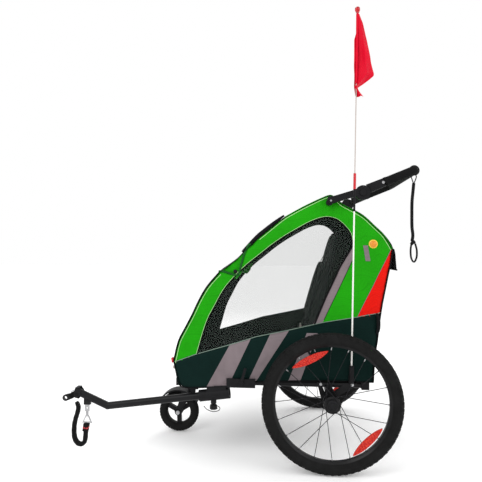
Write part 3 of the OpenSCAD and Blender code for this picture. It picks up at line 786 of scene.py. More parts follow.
# notch filler: the tab of the front cover that is drawn back through the notch
for s, tag in ((-1, "left"), (1, "right")):
    out = [(-428, 700), (-392, 727), (-354, 756), (-327, 785), (-298, 816), (-296, 800), (-318, 752), (-336, 700), (-352, 682), (-390, 690)]
    bd = dense(out, 7, True)
    pts = [Vector(p) for p in bd]
    ed = [(i, (i + 1) % len(bd)) for i in range(len(bd))]
    for x in np.arange(-430, -290, 7.0):
        for z in np.arange(680, 820, 7.0):
            if inside((x, z), bd) and dist_line((x, z), bd + [bd[0]]) > 4:
                pts.append(Vector((x, z)))
    v2, _, f2, _, _, _ = delaunay_2d_cdt(pts, ed, [], 0, 1e-4)
    f2 = [f for f in f2 if inside(tuple(sum((v2[i] for i in f), Vector((0, 0))) / len(f)), bd)]
    vs = []
    for v in v2:
        x, z = v
        fold = 3.5 * math.sin((x + z * 0.6) / 9.0 + 2 * nz(x, z, 40, 3)) + 2 * nz(x, z, 22, 5)
        vs.append(P(x, s * (half(z) - 7 + fold * 0.6), z))
    o = from_data("notch_tab_" + tag, vs, [tuple(f) if s < 0 else tuple(reversed(f)) for f in f2], [M_GREEN])
    mod = o.modifiers.new("thick", "SOLIDIFY")
    mod.thickness = 0.0014
    soft(o)
    q = P(-356, s * (side_y(-356, 717) + 1.5), 712)
    o = tube("notch_button_" + tag, [q + Vector((0, s * -0.004, 0)), q + Vector((0, s * 0.003, 0))], 0.0075, M_PLASTIC, 20, (1, 0, 0))
    soft(o)

# round badge and a plain reflective tab on the rear quarter
for s, tag in ((-1, "left"), (1, "right")):
    c = (170, 817)
    yb = half(c[1]) + 2.2
    n = Vector((0, s, 0.15)).normalized()
    o1 = tube("badge_ring_" + tag, [P(c[0], s * (yb - 1.5), c[1]), P(c[0], s * (yb + 0.6), c[1]) + n * 0.0008], lambda t: 0.0172 - 0.0008 * t, M_BADGE2, 40, (1, 0, 0))
    o2 = tube("badge_disc_" + tag, [P(c[0], s * yb, c[1]), P(c[0], s * (yb + 1.2), c[1]) + n * 0.0008], lambda t: 0.0138 - 0.001 * t, M_BADGE, 40, (1, 0, 0))
    tabp = [(140, 752), (158, 752), (150, 812), (132, 812)]
    bd = dense(tabp, 4, True)
    vs = [P(x, s * (side_y(x, z, s * 5.0) + 0.8), z) for x, z in bd]
    o3 = from_data("reflective_tab_" + tag, vs, [tuple(range(len(bd))) if s < 0 else tuple(reversed(range(len(bd))))], [M_GREY], smooth=False)
    m = o3.modifiers.new("thick", "SOLIDIFY")
    m.thickness = 0.0006
    m.offset = 1
    for o in (o1, o2, o3):
        soft(o)


# -------------------------------------------------------------------- seat
def rect_prof(w, t, r=0.25):
    """Flat strap profile with softened edges, in metres: w along the width, t thick."""
    a, b = w / 2, t / 2
    c = min(b * 0.9, a)
    return [(-a + c * 0.3, -b), (a - c * 0.3, -b), (a, -b * 0.4), (a, b * 0.4), (a - c * 0.3, b), (-a + c * 0.3, b), (-a, b * 0.4), (-a, -b * 0.4)]


def ribbon(name, path, w, t, mat, up=(0, 1, 0)):
    return tube(name, path, 1.0, mat, up=up, prof=rect_prof(w, t))


def pad(name, line, hw, thick, mat, quilt, nrows=60, ncols=46, edge=0.16):
    """Stuffed panel along a side line (x, z): swollen between seams, thin at its border.
    quilt(u, v) gives 0 at a sewn seam and 1 between seams."""
    ln = spline(line, 12)
    L = [0.0]
    for a, b in zip(ln, ln[1:]):
        L.append(L[-1] + (b - a).length)
    tl = L[-1]

    def at(v):
        d = v * tl
        for i in range(len(ln) - 1):
            if L[i + 1] >= d:
                f = (d - L[i]) / max(1e-9, L[i + 1] - L[i])
                p = ln[i] + (ln[i + 1] - ln[i]) * f
                t = (ln[i + 1] - ln[i]).normalized()
                return p, t
        return ln[-1], (ln[-1] - ln[-2]).normalized()
    top, bot = [], []
    for i in range(nrows + 1):
        v = i / nrows
        p, t = at(v)
        n = Vector((-t.y, t.x))
        for j in range(ncols + 1):
            u = -1 + 2 * j / ncols
            eu = max(0.0, 1 - abs(u) ** 5) ** 0.5
            ev = max(0.0, 1 - abs(2 * v - 1) ** 7) ** 0.5
            # the border pulls in between the corners
            pull = 1 - 0.018 * (1 - (2 * v - 1) ** 2)
            y = hw * u * pull
            k = eu * ev
            q = quilt(u, v)
            h = thick * k * (0.62 + 0.38 * q) + 0.9 * k * nz(p.x + p.y, y, 26, 4.4)
            top.append(P(p.x + n.x * h / 2, y, p.y + n.y * h / 2))
            bot.append(P(p.x - n.x * (thick * 0.42 * k), y, p.y - n.y * (thick * 0.42 * k)))
    W = ncols + 1
    N = len(top)
    verts = top + bot
    faces = []
    for i in range(nrows):
        for j in range(ncols):
            a = i * W + j
            faces.append((a, a + W, a + W + 1, a + 1))
            faces.append((N + a, N + a + 1, N + a + W + 1, N + a + W))
    o = from_data(name, verts, faces, mat)
    bm = bmesh.new()
    bm.from_mesh(o.data)
    bmesh.ops.remove_doubles(bm, verts=bm.verts, dist=0.0002)
    border = [e for e in bm.edges if e.is_boundary]
    if border:
        bmesh.ops.bridge_loops(bm, edges=border) if False else bmesh.ops.holes_fill(bm, edges=border)
    bmesh.ops.recalc_face_normals(bm, faces=bm.faces)
    bm.to_mesh(o.data)
    bm.free()
    for p in o.data.polygons:
        p.use_smooth = True
    return o


def quilt_seat(u, v):
    a = min(abs(v - 0.3), abs(v - 0.62)) * 10
    b = abs(abs(u)) * 14
    return min(1.0, min(a, b)) ** 0.5


def quilt_back(u, v):
    a = min(abs(v - k) for k in (0.17, 0.36, 0.55, 0.76)) * 16
    b = min(abs(abs(u) - 0.03), abs(abs(u) - 0.93)) * 18
    return min(1.0, min(a, b)) ** 0.5


cush = pad("seat_pad", [(-330, 328), (-214, 331), (-98, 330)], 211, 33, M_SEAT, quilt_seat, 44, 60)


def inflate(o, press, cap):
    """Cloth pass: the cover swells under pressure, then is held within cap of where it was sewn."""
    rest = np.array([v.co[:] for v in o.data.vertices])
    mod = o.modifiers.new("cloth", "CLOTH")
    st = mod.settings
    st.quality = 5
    st.mass = 0.25
    st.tension_stiffness = st.compression_stiffness = 22
    st.shear_stiffness = 12
    st.bending_stiffness = 0.7
    st.use_pressure = True
    st.uniform_pressure_force = press
    st.effector_weights.gravity = 0
    mod.collision_settings.use_collision = False
    sc = bpy.context.scene
    for f in range(1, 15):
        sc.frame_set(f)
    dg = bpy.context.evaluated_depsgraph_get()
    me = bpy.data.meshes.new_from_object(o.evaluated_get(dg))
    moved = np.array([v.co[:] for v in me.vertices])
    sc.frame_set(1)
    d = moved - rest
    l = np.linalg.norm(d, axis=1)
    if not np.all(np.isfinite(l)):
        o.modifiers.clear()
        return o
    d *= np.minimum(1, cap / np.maximum(l, 1e-9))[:, None]
    o.modifiers.clear()
    o.data.vertices.foreach_set("co", (rest + d).astype(np.float32).ravel())
    o.data.update()
    bpy.data.meshes.remove(me)
    return o


back = pad("seat_back_pad", [(-78, 346), (-36, 520), (6, 690), (56, 872)], 204, 26, M_SEAT, quilt_back, 96, 62)
inflate(cush, 2.2, 0.006)
inflate(back, 1.6, 0.005)
for o in (cush, back):
    m = o.modifiers.new("sub", "SUBSURF")
    m.levels = m.render_levels = 1
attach(cush, "root")
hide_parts("seat_cushion")
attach(back, "root")
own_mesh(back)
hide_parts("seat_back")
# piping round the seat and the back
for nm, ln, hw, bd in (("seat_cord", [(-330, 328), (-214, 331), (-98, 330)], 207, "root"),
                       ("back_cord", [(-78, 346), (-36, 520), (6, 690), (56, 872)], 200, "squash")):
    s_ = spline(ln, 10)
    pth = [P(p.x, -hw, p.y) for p in s_] + [P(s_[-1].x, y, s_[-1].y) for y in np.linspace(-hw + 12, hw - 12, 24)] \
        + [P(p.x, hw, p.y) for p in reversed(s_)] + [P(s_[0].x, y, s_[0].y) for y in np.linspace(hw - 12, -hw + 12, 24)]
    o = tube(nm, pth, 0.0026, M_BIND, 8, (1, 0, 0), closed=True)
    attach(o, "root")
    if bd == "squash":
        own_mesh(o)

hs = []
for y0 in (-140, -60, 60, 140):
    ln = [(36, 792), (10, 762), (-14, 700), (-33, 640), (-62, 540), (-92, 440), (-118, 372), (-134, 352)]
    inn = 1 if y0 in (-140, 60) else -1
    pth = [P(p.x - 3, y0 + inn * 24 * max(0, (i - 30)) / 40, p.y) for i, p in enumerate(spline(ln, 9))]
    hs.append(ribbon("harness_strap_%d" % (y0 + 200), pth, 0.022, 0.0018, M_WEB))
    seg = [p + Vector((-0.004, 0, 0.0)) for p in pth[12:40]]
    o = tube("shoulder_pad_%d" % (y0 + 200), seg, lambda t: 0.55 + 0.45 * min(1, math.sin(math.pi * t) * 3), M_SEAT, prof=rect_prof(0.044, 0.012))
    hs.append(o)
    q = pth[44]
    o = tube("slider_%d" % (y0 + 200), [q + Vector((-0.005, -0.015, 0)), q + Vector((-0.005, 0.015, 0))], 1.0, MATS["pale_mast"], prof=rect_prof(0.020, 0.005), up=(0.25, 0, 1))
    hs.append(o)
for y0 in (-100, 100):
    q = P(-136, y0, 356)
    o = tube("crotch_buckle_%d" % (y0 + 200), [q + Vector((0.004, 0, -0.004)), q + Vector((-0.002, 0, 0.03))], 1.0, M_PLASTIC, prof=rect_prof(0.040, 0.014), up=(0, 1, 0))
    hs.append(o)
    o = ribbon("crotch_strap_%d" % (y0 + 200), [P(-176, y0, 344), P(-160, y0, 347), P(-144, y0, 354), P(-137, y0, 366)], 0.022, 0.002, M_WEB)
    hs.append(o)
    for k in (-1, 1):
        o = ribbon("waist_strap_%d_%d" % (y0 + 200, k), [P(-134, y0 + k * 14, 372), P(-128, y0 + k * 48, 366), P(-108, y0 + k * 82, 352), P(-92, y0 + k * 92, 346)], 0.022, 0.0018, M_WEB, up=(0, 0, 1))
        hs.append(o)
for o in hs:
    soft(o)
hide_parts("harness")
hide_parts("buckle")
# quilted inner floor mat over the board
mat_o = pad("floor_mat", [(-545, 311), (-440, 311), (-336, 311)], 220, 7, M_LINING,
            lambda u, v: min(1.0, min(abs((u * 4) % 1 - 0.5), abs((v * 5) % 1 - 0.5)) * 4) ** 0.5, 30, 44)
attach(mat_o, "root")


# ------------------------------------------------------------------ wheels
def torus_knobs(name, c, R, r0, rows, mat, body, repl, prof_flat=1.0, segs=160, inner=None):
    """Tyre: carcass swept round the axle, with rows of tread blocks.
    rows: (angle across, count, length, width, height, skew)."""
    rc = R - r0 - 0.0008
    ms = 40
    verts, faces = [], []
    a0, a1 = -math.radians(146), math.radians(146)
    prof = []
    for k in range(ms + 1):
        a = a0 + (a1 - a0) * k / ms
        prof.append((rc + r0 * math.cos(a) * prof_flat, r0 * math.sin(a)))
    # raised ring near the bead and a fine line on the sidewall
    prof2 = []
    for k, (r, y) in enumerate(prof):
        a = a0 + (a1 - a0) * k / ms
        d = 0.0
        for pos, hgt, wid in ((118, 0.0007, 4), (92, 0.00035, 3)):
            d += hgt * math.exp(-((abs(math.degrees(a)) - pos) / wid) ** 2)
        rr = r0 + d
        prof2.append((rc + rr * math.cos(a) * prof_flat, rr * math.sin(a)))
    M = len(prof2)
    for i in range(segs):
        t = 2 * math.pi * i / segs
        for r, y in prof2:
            verts.append((c[0] + r * math.cos(t), c[1] + y, c[2] + r * math.sin(t)))
    for i in range(segs):
        j = (i + 1) % segs
        for k in range(M):
            l = (k + 1) % M
            faces.append((i * M + k, i * M + l, j * M + l, j * M + k))
    for (phi, cnt, ln, wd, hg, skew) in rows:
        for n in range(cnt):
            t0 = 2 * math.pi * (n + (0.5 if skew < 0 else 0.0)) / cnt
            k0 = len(verts)
            for hh, sh in ((-0.0006, 1.0), (hg, 0.80)):
                for du, dv in ((-1, -1), (1, -1), (1, 1), (-1, 1)):
                    a = math.radians(phi) + dv * sh * wd / 2 / r0
                    t = t0 + (du * sh * ln / 2 + dv * sh * skew * wd * 0.5) / R
                    rr = r0 + hh
                    r = rc + rr * math.cos(a) * prof_flat
                    verts.append((c[0] + r * math.cos(t), c[1] + rr * math.sin(a), c[2] + r * math.sin(t)))
            faces += [(k0 + 4, k0 + 5, k0 + 6, k0 + 7), (k0, k0 + 1, k0 + 5, k0 + 4), (k0 + 1, k0 + 2, k0 + 6, k0 + 5),
                      (k0 + 2, k0 + 3, k0 + 7, k0 + 6), (k0 + 3, k0, k0 + 4, k0 + 7), (k0 + 3, k0 + 2, k0 + 1, k0)]
    o = from_data(name, verts, faces, mat)
    bm = bmesh.new()
    bm.from_mesh(o.data)
    bmesh.ops.recalc_face_normals(bm, faces=bm.faces)
    bm.to_mesh(o.data)
    bm.free()
    for p in o.data.polygons:
        p.use_smooth = True
    sharp(o, 32)
    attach(o, body)
    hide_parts(repl)
    return o


for s, tag in ((-1, "left"), (1, "right")):
    c = P(0, s * 370, 250)
    rows = [(0, 66, 0.013, 0.0075, 0.0016, 0.35), (0, 66, 0.006, 0.005, 0.0013, -0.3),
            (24, 66, 0.011, 0.0065, 0.0017, 0.5), (-24, 66, 0.011, 0.0065, 0.0017, -0.5),
            (47, 66, 0.012, 0.0070, 0.0017, -0.2), (-47, 66, 0.012, 0.0070, 0.0017, -0.2),
            (68, 132, 0.0045, 0.0060, 0.0010, 0.0), (-68, 132, 0.0045, 0.0060, 0.0010, 0.0)]
    torus_knobs("tyre_" + tag + "_tread", c, 0.2492, 0.0222, rows, M_TYRE, "wheel_" + tag, "tyre_" + tag)
    nip = []
    for i in range(20):
        a = 2 * math.pi * i / 20
        sd = 1 if i % 2 == 0 else -1
        k = 1 if (i // 2) % 2 == 0 else -1
        b = a + k * math.radians(62)
        p0 = Vector((0.026 * math.cos(b), sd * 0.019 + k * 0.0019, 0.026 * math.sin(b)))
        p1 = Vector((0.2035 * math.cos(a), sd * 0.002, 0.2035 * math.sin(a)))
        d = (p0 - p1).normalized()
        nip.append(tube("n", [c + p1 + d * 0.002, c + p1 + d * 0.0155], lambda t: 0.0024 - 0.0007 * t, M_STEEL, 10, (0, 1, 0)))
        nip.append(tube("n", [c + p0 + d * 0.0, c + p0 + Vector((0, 0.004 * sd, 0))], 0.0020, M_SPOKE, 8, (1, 0, 0)))
    o = join("nipples_" + tag, nip)
    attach(o, "wheel_" + tag)
    va = math.radians(114)
    vd = Vector((math.cos(va), 0, math.sin(va)))
    o = tube("valve_" + tag, [c + vd * 0.202, c + vd * 0.176, c + vd * 0.166], lambda t: 0.0036 if t < 0.6 else 0.0028, M_PLASTIC, 12)
    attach(o, "wheel_" + tag)
    # dust cap and quick release button at the outer end of the axle
    y0 = s * 0.395
    cc = Vector((c.x, 0, c.z))
    prof = [(0.0205, 0.394), (0.0205, 0.3965), (0.018, 0.3995), (0.0125, 0.4012), (0.0118, 0.4045), (0.0095, 0.4062), (0.0, 0.4066)]
    vs, fs = [], []
    for i in range(40):
        t = 2 * math.pi * i / 40
        for r, y in prof:
            vs.append(cc + Vector((r * math.cos(t), s * y, r * math.sin(t))))
    for i in range(40):
        j = (i + 1) % 40
        for k in range(len(prof) - 1):
            fs.append((i * len(prof) + k, i * len(prof) + k + 1, j * len(prof) + k + 1, j * len(prof) + k))
    o = from_data("hub_cap_" + tag, vs, fs, M_PLASTIC)
    bm = bmesh.new(); bm.from_mesh(o.data)
    bmesh.ops.remove_doubles(bm, verts=bm.verts, dist=1e-5)
    bmesh.ops.recalc_face_normals(bm, faces=bm.faces)
    bm.to_mesh(o.data); bm.free()
    sharp(o, 40)
    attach(o, "root")
    # lens reflectors with ribs, a raised border and spoke clips
    ribs = []
    for (rr_, ang) in ((174, 116), (174, -46)):
        aa = math.radians(ang)
        er = Vector((math.cos(aa), 0, math.sin(aa)))
        et = Vector((-math.sin(aa), 0, math.cos(aa)))
        mid = c + er * (rr_ / 1000) + Vector((0, s * 0.014, 0))
        ey = Vector((0, s, 0))

        def half_h(q):
            return 0.0135 * max(0.0, 1 - (abs(q) / 0.071) ** 2.1) ** 0.8

        qs = [0.071 * math.sin(math.pi * (k / 30 - 0.5)) for k in range(31)]
        ring_ = [(q, half_h(q)) for q in qs] + [(q, -half_h(q)) for q in reversed(qs[1:-1])]
        nr = len(ring_)
        vs = []
        for (sc_, dy) in ((0.97, -0.0028), (1.0, -0.0018), (1.0, 0.0016), (0.95, 0.0028), (0.86, 0.0026)):
            vs += [mid + et * (q * (1 - (1 - sc_) * 0.5)) + er * (h * sc_) + ey * dy for q, h in ring_]
        fs = []
        for k in range(4):
            for a_ in range(nr):
                b_ = (a_ + 1) % nr
                fs.append((k * nr + a_, k * nr + b_, (k + 1) * nr + b_, (k + 1) * nr + a_))
        fs.append(tuple(range(nr)))
        fs.append(tuple(4 * nr + k for k in range(nr)))
        o = from_data("lens", vs, fs, M_REFL)
        bm = bmesh.new(); bm.from_mesh(o.data)
        bmesh.ops.recalc_face_normals(bm, faces=bm.faces)
        bm.to_mesh(o.data); bm.free()
        sharp(o, 35)
        ribs.append(o)
        for q in np.linspace(-0.056, 0.056, 15):
            hw_ = half_h(q) - 0.002
            if hw_ < 0.002:
                continue
            ribs.append(tube("r", [mid + et * q - er * hw_ + ey * 0.0027, mid + et * q + er * hw_ + ey * 0.0027], 0.0009, M_REFL, 6, (0, 1, 0)))
        ribs.append(tube("r", [mid - et * 0.062 + ey * 0.0027, mid + et * 0.062 + ey * 0.0027], 0.0010, M_REFL, 6, (0, 1, 0)))
        for q in (-0.04, 0.04):
            ribs.append(tube("r", [mid + et * q - er * 0.007 - ey * 0.002, mid + et * q + er * 0.007 - ey * 0.002], 0.0040, M_REFL, 8, (0, 1, 0)))
    o = join("reflector_ribs_" + tag, ribs)
    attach(o, "wheel_" + tag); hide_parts("reflectors_" + tag)

torus_knobs("front_tyre_tread", P(-632, 0, 88), 0.0878, 0.0192,
            [(a, 40, 0.0085, 0.0055, 0.0011, 0.3 if a > 0 else -0.3) for a in (0, 26, -26, 50, -50)],
            M_TYRE, "front_wheel", "front_tyre", segs=96)

# ------------------------------------------------------------- push handle
kx, kz = 133, 1014
hc, hsn = math.cos(math.radians(21.8)), math.sin(math.radians(21.8))


def HP(s, y):
    return P(kx + hc * s, y, kz + 8 + hsn * s)


ty = 220
CB = 216                     # crossbar, along the handle from the knuckle
pth = [HP(s_, -ty) for s_ in np.linspace(92, CB - 16, 16)]
for a in np.linspace(0, math.pi / 2, 8)[1:-1]:
    pth.append(HP(CB - 16 + 16 * math.sin(a), -ty + 16 * (1 - math.cos(a))))
pth += [HP(CB, y) for y in np.linspace(-ty + 16, ty - 16, 40)]
for a in np.linspace(math.pi / 2, 0, 8)[1:-1]:
    pth.append(HP(CB - 16 + 16 * math.sin(a), ty - 16 * (1 - math.cos(a))))
pth += [HP(s_, ty) for s_ in np.linspace(CB - 16, 92, 16)]
np_ = len(pth)
GR = 0.0168


def grip_r(t):
    e = min(t, 1 - t) * np_
    r = GR
    if e < 1.2:
        r *= 1.07
    elif e < 2.0:
        r *= 0.97
    return r


grip = tube("foam_grip", pth, grip_r, M_FOAM, 28, (0, 0, 1))
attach(grip, "handlebar"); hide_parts("handlebar_grip")
for s, tag in ((-1, "left"), (1, "right")):
    # moulded sleeve between the knuckle and the foam
    pr = rect_prof(0.024, 0.036)
    o = tube("handle_sleeve_" + tag, [HP(q, s * ty) for q in np.linspace(24, 93, 10)], lambda t: 1.0 - 0.06 * t, M_PLASTIC, up=(0, 1, 0), prof=[(0.0125 * math.copysign(abs(math.cos(a)) ** 0.5, math.cos(a)), 0.018 * math.copysign(abs(math.sin(a)) ** 0.6, math.sin(a))) for a in np.linspace(0, 2 * math.pi, 25)[:-1]])
    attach(o, "handlebar")
    q = HP(84, s * (ty + 12))
    o = tube("sleeve_bolt_" + tag, [q + Vector((0, -s * 0.003, 0)), q + Vector((0, s * 0.0028, 0))], 0.0058, M_STEEL, 6, (1, 0, 0))
    sharp(o)
    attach(o, "handlebar")
    # toothed rim of the angle knuckle
    kn = []
    for i in range(36):
        a = 2 * math.pi * i / 36
        d = Vector((math.cos(a), 0, math.sin(a)))
        base = P(kx, s * (232 + 4), kz)
        kn.append(tube("k", [base + d * 0.0275 - Vector((0, s * 0.006, 0)), base + d * 0.0275 + Vector((0, s * 0.0062, 0))], 0.0013, M_PLASTIC, 6, (1, 0, 0)))
    prof = [(0.0, 0.0088), (0.016, 0.0085), (0.0205, 0.0072), (0.022, 0.004), (0.022, 0.0)]
    o = join("knuckle_ribs_" + tag, kn)
    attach(o, "front_hoop")

# -------------------------------------------------------------- wrist strap
wr = [(333, 1086), (332, 1062), (328, 1020), (324, 980), (323, 930), (323, 884), (326, 850), (321, 822), (317, 794),
      (319, 764), (329, 748), (339, 766), (340, 794), (334, 820)]
wpath = spline([P(x, -205, z) for x, z in wr], 4)
LW = sum((b - a).length for a, b in zip(wpath, wpath[1:]))
k0 = 5
kk = next(i for i, p in enumerate(wpath) if p.z < 0.838)
strap = join("wrist_strap_web", [ribbon("wa", wpath[k0:kk + 2], 0.0120, 0.0028, M_WEB, up=(1, 0, 0)),
                                 ribbon("wb", wpath[kk - 1:], 0.0120, 0.0046, M_WEB, up=(0, 1, 0))])
cords = []
for k in (-1, 1):
    a = HP(CB - 15 if k < 0 else CB + 4, -205)
    c_ = P(322 if k < 0 else 341, -205, 1076)
    p = spline([a + Vector((0, 0, -0.0145)), c_, wpath[k0] + Vector((k * 0.002, 0, 0.001)), wpath[k0 + 1] + Vector((k * 0.001, 0, 0))], 8)
    cords.append(tube("wrist_cord_%d" % (k + 2), p, 0.0021, M_WEB, 8))
cords.append(tube("wrist_cord_wrap", [HP(CB, -205) + Vector((GR * 1.08 * math.cos(a), 0, GR * 1.08 * math.sin(a))) for a in np.linspace(0, 2 * math.pi, 40)[:-1]], 0.0022, M_WEB, 8, closed=True))
cords.append(tube("wrist_keeper", [P(333, -205, 828), P(326, -205, 823), P(319, -205, 817)], 1.0, M_WEB, prof=rect_prof(0.013, 0.011), up=(0, 1, 0)))
for o in [strap] + cords:
    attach(o, "handlebar")
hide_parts("wrist_strap")

# ---------------------------------------------------------------- tow strap
sr = [(-982, 199), (-974, 180), (-977, 158), (-985, 132), (-990, 104), (-990, 72), (-984, 50), (-971, 37), (-955, 37),
      (-946, 50), (-943, 80), (-940, 105), (-938.4, 116)]
spath = spline([P(x, -272, z) for x, z in sr], 5)
oval = [(0.0115 * math.copysign(abs(math.cos(a)) ** 0.7, math.cos(a)), 0.0082 * math.copysign(abs(math.sin(a)) ** 0.8, math.sin(a))) for a in np.linspace(0, 2 * math.pi, 29)[:-1]]
web = tube("safety_strap_web", spath, lambda t: (0.72 + 0.28 * min(1, t * 9)) * (1 + 0.03 * math.sin(t * 90)), M_WEB, up=(0, 1, 0), prof=oval)
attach(web, "tow_bar"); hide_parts("safety_strap")
seams = []
for dy in (-0.0085, 0.0085):
    seams.append(tube("s", [p + Vector((0, dy, 0)) for p in spath[2:]], 0.0050, M_WEB, 8, up=(0, 1, 0)))
o1 = join("strap_hems", seams)
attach(o1, "tow_bar")
# stitched box and keeper where the strap is sewn to the ring, and the turn round the tube
o2 = tube("strap_fold", [P(-944, -272, 88), P(-939.6, -272, 117)], 1.0, M_WEB, prof=rect_prof(0.025, 0.019), up=(0, 1, 0))
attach(o2, "tow_bar")
o4 = tube("strap_label", [P(-942.2, -272, 99), P(-941.4, -272, 104)], 1.0, M_REDP, prof=rect_prof(0.0256, 0.0196), up=(0, 1, 0))
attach(o4, "tow_bar")
ring = []
for a in np.linspace(0, 2 * math.pi, 48)[:-1]:
    ring.append(P(-976, -272, 232) + Vector((0.004 * math.sin(a), 0.0155 * math.cos(a), 0.0170 * math.sin(a))))
o3 = tube("strap_turn", ring, 1.0, M_WEB, prof=rect_prof(0.0035, 0.018), up=(0, 1, 0), closed=True)
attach(o3, "tow_bar")

# --------------------------------------------------------------------- flag
def pxz(z):
    return 76 + (z - 330) * (30.9 / 1361)


def pole(name, z0, z1, r, mat, seg=16):
    n = 10
    o = tube(name, [P(pxz(z0 + (z1 - z0) * i / n), -312, z0 + (z1 - z0) * i / n) for i in range(n + 1)], r, mat, seg)
    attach(o, "flag")
    return o


pole("pole_sleeve", 936, 1019, 0.0041, M_PLASTIC)
for z in (938, 1017):
    pole("pole_ring_%d" % z, z - 1.5, z + 1.5, 0.0049, M_PLASTIC)
# pennant: folded cloth hanging down the mast
rows, colsn = 90, 26
vs, fs = [], []
prof_r = [(1672, 7), (1638, 21), (1574, 36), (1490, 51), (1450, 63), (1442, 62), (1426, 44), (1409, 22), (1399, 7), (1392, 8), (1377, 17), (1362, 27), (1358, 28)]
prof_l = [(1672, -5), (1598, -5), (1574, -12), (1476, -13), (1402, -9), (1363, -4), (1358, 0)]


def interp(tab, z):
    tb = sorted(tab)
    for (a, va), (b, vb) in zip(tb, tb[1:]):
        if a <= z <= b:
            return va + (vb - va) * (z - a) / (b - a)
    return tb[0][1] if z < tb[0][0] else tb[-1][1]


for i in range(rows + 1):
    z = 1672 - (1672 - 1361) * i / rows
    xl, xr = interp(prof_l, z), interp(prof_r, z)
    f = i / rows
    for j in range(colsn + 1):
        u = j / colsn
        # hanging folds: the cloth runs round tight pleats that open towards the bottom
        amp = (5 + 20 * f ** 0.8) * (0.4 + 0.6 * math.sin(math.pi * min(1, f * 0.98)) ** 0.4)
        ph = 2.3 * math.pi * u + 0.7 * math.sin(3.1 * f * math.pi) + 0.5 * nz(u * 60, z, 60, 2)
        y = amp * math.sin(ph) * (0.3 + 0.7 * u)
        x = xl + (xr - xl) * (u + 0.045 * math.sin(2 * math.pi * u * 2 + 2 * f))
        zz = z + 1.2 * nz(u * 50, z, 40, 4) * u
        vs.append(P(pxz(z) + x, -312 + y * 0.8, max(1358, zz)))
W = colsn + 1
for i in range(rows):
    for j in range(colsn):
        a = i * W + j
        fs.append((a, a + 1, a + W + 1, a + W))
pen = from_data("pennant_cloth", vs, fs, M_PENNANT)
m = pen.modifiers.new("thick", "SOLIDIFY"); m.thickness = 0.0008; m.offset = 0
m = pen.modifiers.new("sub", "SUBSURF"); m.levels = m.render_levels = 1
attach(pen, "flag"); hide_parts("flag_pennant")
hem = tube("pennant_hem", [P(pxz(z), -312, z) for z in np.linspace(1674, 1410, 30)], 0.0040, M_PENNANT, 10)
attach(hem, "flag")
kb = []
for i in range(6):
    a = 2 * math.pi * i / 6
    q = P(pxz(1676), -312, 1686)
    d = Vector((math.cos(a), math.sin(a), 0))
    kb.append(tube("k", [q + d * 0.0045 + Vector((0, 0, -0.006)), q + d * 0.0072 + Vector((0, 0, 0.0)), q + d * 0.0066 + Vector((0, 0, 0.0088))], lambda t: 0.0030 - 0.0008 * t, M_REDP, 8, (1, 0.2, 0)))
o = join("knob_crown", kb)
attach(o, "flag")

# ------------------------------------------------------ small rigid details
def rigid(o, body):
    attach(o, body)
    return o


# wire spring clip over the hitch coupling
cl = spline([P(-1006, -272, 228), P(-1002, -272, 238), P(-991, -272, 244), P(-976, -272, 244), P(-963, -272, 241), P(-955, -272, 233)], 8)
rigid(tube("coupling_wire", cl, 0.0014, M_STEEL, 8), "tow_bar")
# bellows between the eye and the tow tube
bl = [P(-1006, -272, 220) + (P(-980, -272, 233.5) - P(-1006, -272, 220)) * t for t in np.linspace(0, 1, 40)]
rigid(tube("coupling_boot", bl, lambda t: 0.0098 + 0.0022 * t + 0.0011 * math.sin(t * math.pi * 14), M_FOAM, 20), "tow_bar")
# lanyard wires of the tow arm's locking pin
for n_, pts_ in (("pin_wire", [(-474, 200), (-462, 188), (-440, 180), (-418, 184), (-412, 194), (-420, 202)]),):
    rigid(tube(n_, spline([P(x, -281, z) for x, z in pts_], 10), 0.0014, M_WEB, 8), "root")
# small bolt heads on the handle hinge
for s_ in (-1, 1):
    q = P(12, s_ * 243.2, 984)
    o = tube("hinge_bolt_%d" % (s_ + 1), [q - Vector((0, s_ * 0.001, 0)), q + Vector((0, s_ * 0.0032, 0))], 0.0042, M_STEEL, 6, (1, 0, 0))
    sharp(o)
    rigid(o, "front_hoop")
# padded bumper at the rear corners of the cabin
for s_ in (-1, 1):
    o = tube("rear_bumper_%d" % (s_ + 1), spline([P(172, s_ * 286, 560), P(178, s_ * 288, 540), P(178, s_ * 288, 505), P(171, s_ * 287, 482)], 6), lambda t: 0.35 + 0.65 * math.sin(math.pi * min(1, max(0, t)) * 0.98 + 0.03) ** 0.4, M_BLACK, prof=rect_prof(0.018, 0.012), up=(0, 1, 0))
    soft(o)
# red marker lens and white clip at the front sill corners
for s_ in (-1, 1):
    q = P(-592, s_ * 284, 372)
    o = tube("sill_marker_%d" % (s_ + 1), [q + Vector((-0.001, 0, -0.008)), q + Vector((-0.004, 0, 0.010))], 1.0, M_REDP, prof=rect_prof(0.016, 0.007), up=(0, 1, 0))
    soft(o)
    q = P(-586, s_ * 284, 346)
    o = tube("sill_clip_%d" % (s_ + 1), [q + Vector((-0.002, 0, -0.005)), q + Vector((-0.004, 0, 0.005))], 1.0, MATS["pale_mast"], prof=rect_prof(0.012, 0.006), up=(0, 1, 0))
    soft(o)

